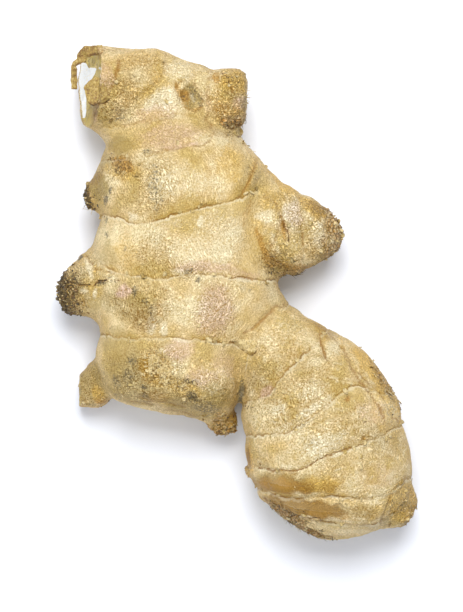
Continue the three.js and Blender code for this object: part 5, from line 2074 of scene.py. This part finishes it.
        # These bands are partly the scales' own colour and partly painted light: the shade and ochre bands
        # paint shade on one side of the scar, and the cream band paints a highlight on its lip
        for band, strength, share, tint in (
            ((-5.0, -0.2, 0.0, 0.15), full, 0.22, "shade"),
            ((0.1, 0.4, 0.5, 6.0), full, 0.2, "pale"),
            ((-1.4, -0.1, 0.0, 0.15), strong, 0.3, "ochre"),
            ((0.15, 0.35, 0.5, 1.0), strong, 0.5, "cream"),
        ):
            base = graph.paint(base, colour[tint], graph.band(edge, *band), strength, share)
        line = graph.times(graph.step(graph.math("ABSOLUTE", edge), 0.3, 0.06), strong)
        crack = graph.times(graph.step(coat.jagged("seam", 0.7), 0.42, 0.05), graph.read("ink"))
        base = graph.paint(base, colour["scar"], line, 0.75)
        base = graph.mix(graph.step(crack, 0.0, 0.6, 0.0, 0.75), base, colour["scar"])
        broken = graph.add(crack, graph.times(coat.wander, 1.2))
        base = graph.mix(graph.step(broken, 0.6, 0.95, 0.0, 0.9), base, colour["char"])
        return base, graph.math("MAXIMUM", line, crack)

    def _crusted(self, coat: Coat, base: Socket) -> tuple[Socket, Socket]:
        """Crust on the tips: ochre scabs with dark gaps between them, black where it is charred.

        Args:
            coat: What the layers read.
            base: The colour so far.

        Returns:
            The colour with the crust, and the gaps between its scabs.
        """
        graph, colour = coat.graph, coat.colour
        crust = graph.step(coat.jagged("crust", 1.0), 0.25, 0.75)
        gap = graph.step(graph.cracks(coat.place, self.scab_scale), 0.15, 0.0)
        burnt = graph.read("char")
        stops = ((0.34, colour["scar"]), (0.45, colour["rust"]), (0.58, colour["pale"]))
        scab = graph.paint(graph.ramp(coat.speck, *stops), colour["dull"], burnt, 0.7)
        scab = graph.paint(scab, colour["char"], graph.step(coat.frayed(burnt, 2.4), 0.25, 0.6), 0.93)
        between = graph.mix(graph.times(burnt, 0.9, clamp=True), colour["scar"], colour["char"])
        scab = graph.paint(scab, between, gap, 0.75)
        return graph.paint(base, scab, crust, 0.8), graph.times(crust, gap)

    @staticmethod
    def _broken(coat: Coat, base: Socket) -> tuple[Socket, Socket]:
        """The torn face: brown rind, and white wet flesh with faint fibres where it is bare.

        Args:
            coat: What the layers read.
            base: The colour so far.

        Returns:
            The colour with the torn face, and where it is flesh.
        """
        graph, colour = coat.graph, coat.colour
        torn = graph.step(coat.jagged("torn", 0.6), 0.35, 0.6)
        dull = graph.step(graph.noise(coat.place, 0.8, 3), 0.46, 0.7)
        rind = graph.mix(dull, colour["rind"], colour["dull"])
        rind = graph.mix(graph.read("brown"), rind, colour["shade"])
        base = graph.paint(base, rind, torn, 0.9)
        flesh = graph.step(coat.jagged("flesh", 0.5), 0.4, 0.6)
        wet = graph.paint(colour["flesh"], colour["pale"], coat.dark, 0.4)
        return graph.mix(flesh, base, wet), flesh


@dataclass(frozen=True)
class LitterFinish:
    """Finish of crumbs, flakes, hairs, strips and flaps: tan to black by their "dark"."""

    pale: tuple[int, int, int] = (230, 207, 150)
    ochre: tuple[int, int, int] = (190, 160, 84)
    brown: tuple[int, int, int] = (128, 92, 40)
    char: tuple[int, int, int] = (34, 30, 26)
    speck_scale: float = 1.6
    speck: float = 0.8  # how far the specks lighten and darken
    streak: float = 0.8
    roughness: float = 0.6
    bump_mm: float = 0.12

    def material(self, name: str, grain: NodeTree) -> Material:
        """Makes the material.

        Args:
            name: The material's name.
            grain: The fine grain's group.

        Returns:
            The material.
        """
        made, graph, place, fine = new_material(name, grain)
        graph.link(place, fine.inputs["Strips"])
        graph.link(self.streak, fine.inputs["Streak"])
        speck = graph.times(graph.less(graph.noise(place, self.speck_scale, 3, 0.7), 0.5), self.speck)
        dark = graph.add(graph.read("dark"), speck)
        stops = ((0.05, self.pale), (0.35, self.ochre), (0.6, self.brown), (0.85, self.char))
        base = graph.ramp(dark, *((at, linear(*tint)) for at, tint in stops))
        base = graph.paint(base, linear(*self.brown), fine.outputs["Dark"], 0.6)
        base = graph.paint(base, linear(*self.pale), fine.outputs["Light"], 0.2)
        rough = graph.step(speck, -0.2, 0.2, self.roughness + 0.1, self.roughness - 0.1)
        graph.finish(fine.outputs["Height"], self.bump_mm, Base_Color=base, Roughness=rough)
        return made


@dataclass(frozen=True)
class Lamp:
    """A square light that faces the hand: its place and side in metres, its watts and its colour."""

    name: str
    spot: tuple[float, float, float]
    side: float
    watts: float
    colour: tuple[float, float, float]

    def build(self) -> None:
        """Makes the light."""
        data = bpy.data.lights.new(self.name, "AREA")
        data.size = self.side
        data.energy = self.watts
        data.color = self.colour
        light = bpy.data.objects.new(self.name, data)
        light.location = self.spot
        light.rotation_mode = "QUATERNION"
        light.rotation_quaternion = (-Vector(self.spot)).to_track_quat("-Z", "Y")
        bpy.context.collection.objects.link(light)


# A large soft light from beyond the crown, a weak one overhead and a card that fills the shadow
LAMPS = [
    Lamp("key", (0.04, 0.5, 1.05), 0.6, 13.4, (0.98, 0.99, 1.0)),
    Lamp("top", (0.05, 0.1, 1.3), 1.1, 3.4, (0.98, 0.99, 1.0)),
    Lamp("card", (-0.3, -0.45, 0.3), 0.4, 1.4, (0.97, 0.99, 1.0)),
]


@dataclass
class Studio:
    """The white table, the sky and the camera that looks straight down.

    Framing: the view is 463 pixels wide and 612 high, at a quarter of a millimetre a pixel.
    """

    pixel_mm: float = 0.25
    frame_high: int = 612
    middle_mm: tuple[float, float] = (-1.19, -2.9)
    focus_mm: float = 15.0
    distance_m: float = 1.2
    sensor_mm: float = 36.0
    table_m: float = 3.0  # half its side
    paper: tuple[float, ...] = (0.89, 0.905, 0.95, 1)
    sky: tuple[float, ...] = (0.8, 0.86, 1.0, 1)
    sky_strength: float = 0.34

    def build(self) -> None:
        """Makes the camera, the table, the lights and the sky."""
        self._camera()
        self._table()
        for lamp in LAMPS:
            lamp.build()
        self._sky()

    def _camera(self) -> None:
        """A long lens straight above, so the view has hardly any perspective."""
        lens = bpy.data.cameras.new("camera")
        lens.sensor_width = self.sensor_mm
        seen = self.frame_high * self.pixel_mm * METRES
        lens.lens = self.sensor_mm * self.distance_m / seen
        camera = bpy.data.objects.new("camera", lens)
        x, y = self.middle_mm
        camera.location = (x * METRES, y * METRES, self.focus_mm * METRES + self.distance_m)
        bpy.context.collection.objects.link(camera)
        bpy.context.scene.camera = camera

    def _table(self) -> None:
        """A wide white sheet under the hand."""
        signs = ((-1, -1), (1, -1), (1, 1), (-1, 1))
        corners = [(x * self.table_m, y * self.table_m, 0) for x, y in signs]
        mesh = bpy.data.meshes.new("table")
        mesh.from_pydata(corners, [], [(0, 1, 2, 3)])
        table = bpy.data.objects.new("table", mesh)
        made = bpy.data.materials.new("white_paper")
        made.use_nodes = True
        inputs = made.node_tree.nodes["Principled BSDF"].inputs
        inputs["Base Color"].default_value = self.paper
        inputs["Roughness"].default_value = 0.9
        inputs["Specular IOR Level"].default_value = 0.0
        mesh.materials.append(made)
        bpy.context.collection.objects.link(table)

    def _sky(self) -> None:
        """A pale sky that lights the shadows."""
        world = bpy.data.worlds.new("sky")
        world.use_nodes = True
        inputs = world.node_tree.nodes["Background"].inputs
        inputs[0].default_value = self.sky
        inputs[1].default_value = self.sky_strength
        bpy.context.scene.world = world
        bpy.context.scene.view_settings.view_transform = "Standard"


def dress(piece: Object) -> None:
    """Lets a piece ride with the hand and reports it."""
    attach(piece, BODY)
    LOG.info("%s: %d points, %d faces", piece.name, len(piece.data.vertices), len(piece.data.polygons))


def main() -> None:
    """Builds the studio, the hand and the pieces on it."""
    logging.basicConfig(level=logging.INFO)
    Studio().build()
    grain = DryGrain().group()
    litter = LitterFinish()
    skin, surface = Skin().build(SkinFinish().material(grain))
    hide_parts(NODE)
    dress(skin)
    dress(Crumbs(surface).build(litter.material("dry_crumbs", grain)))
    papery = litter.material("papery_skin", grain)
    dress(Flakes(surface).build(papery))
    dress(Hairs(surface).build(papery))
    for strip in STRIPS:
        dress(strip.build(Grain(5), papery))
    for flap in FLAPS:
        dress(flap.build(surface, Grain(3), papery))


if __name__ == "__main__":
    main()
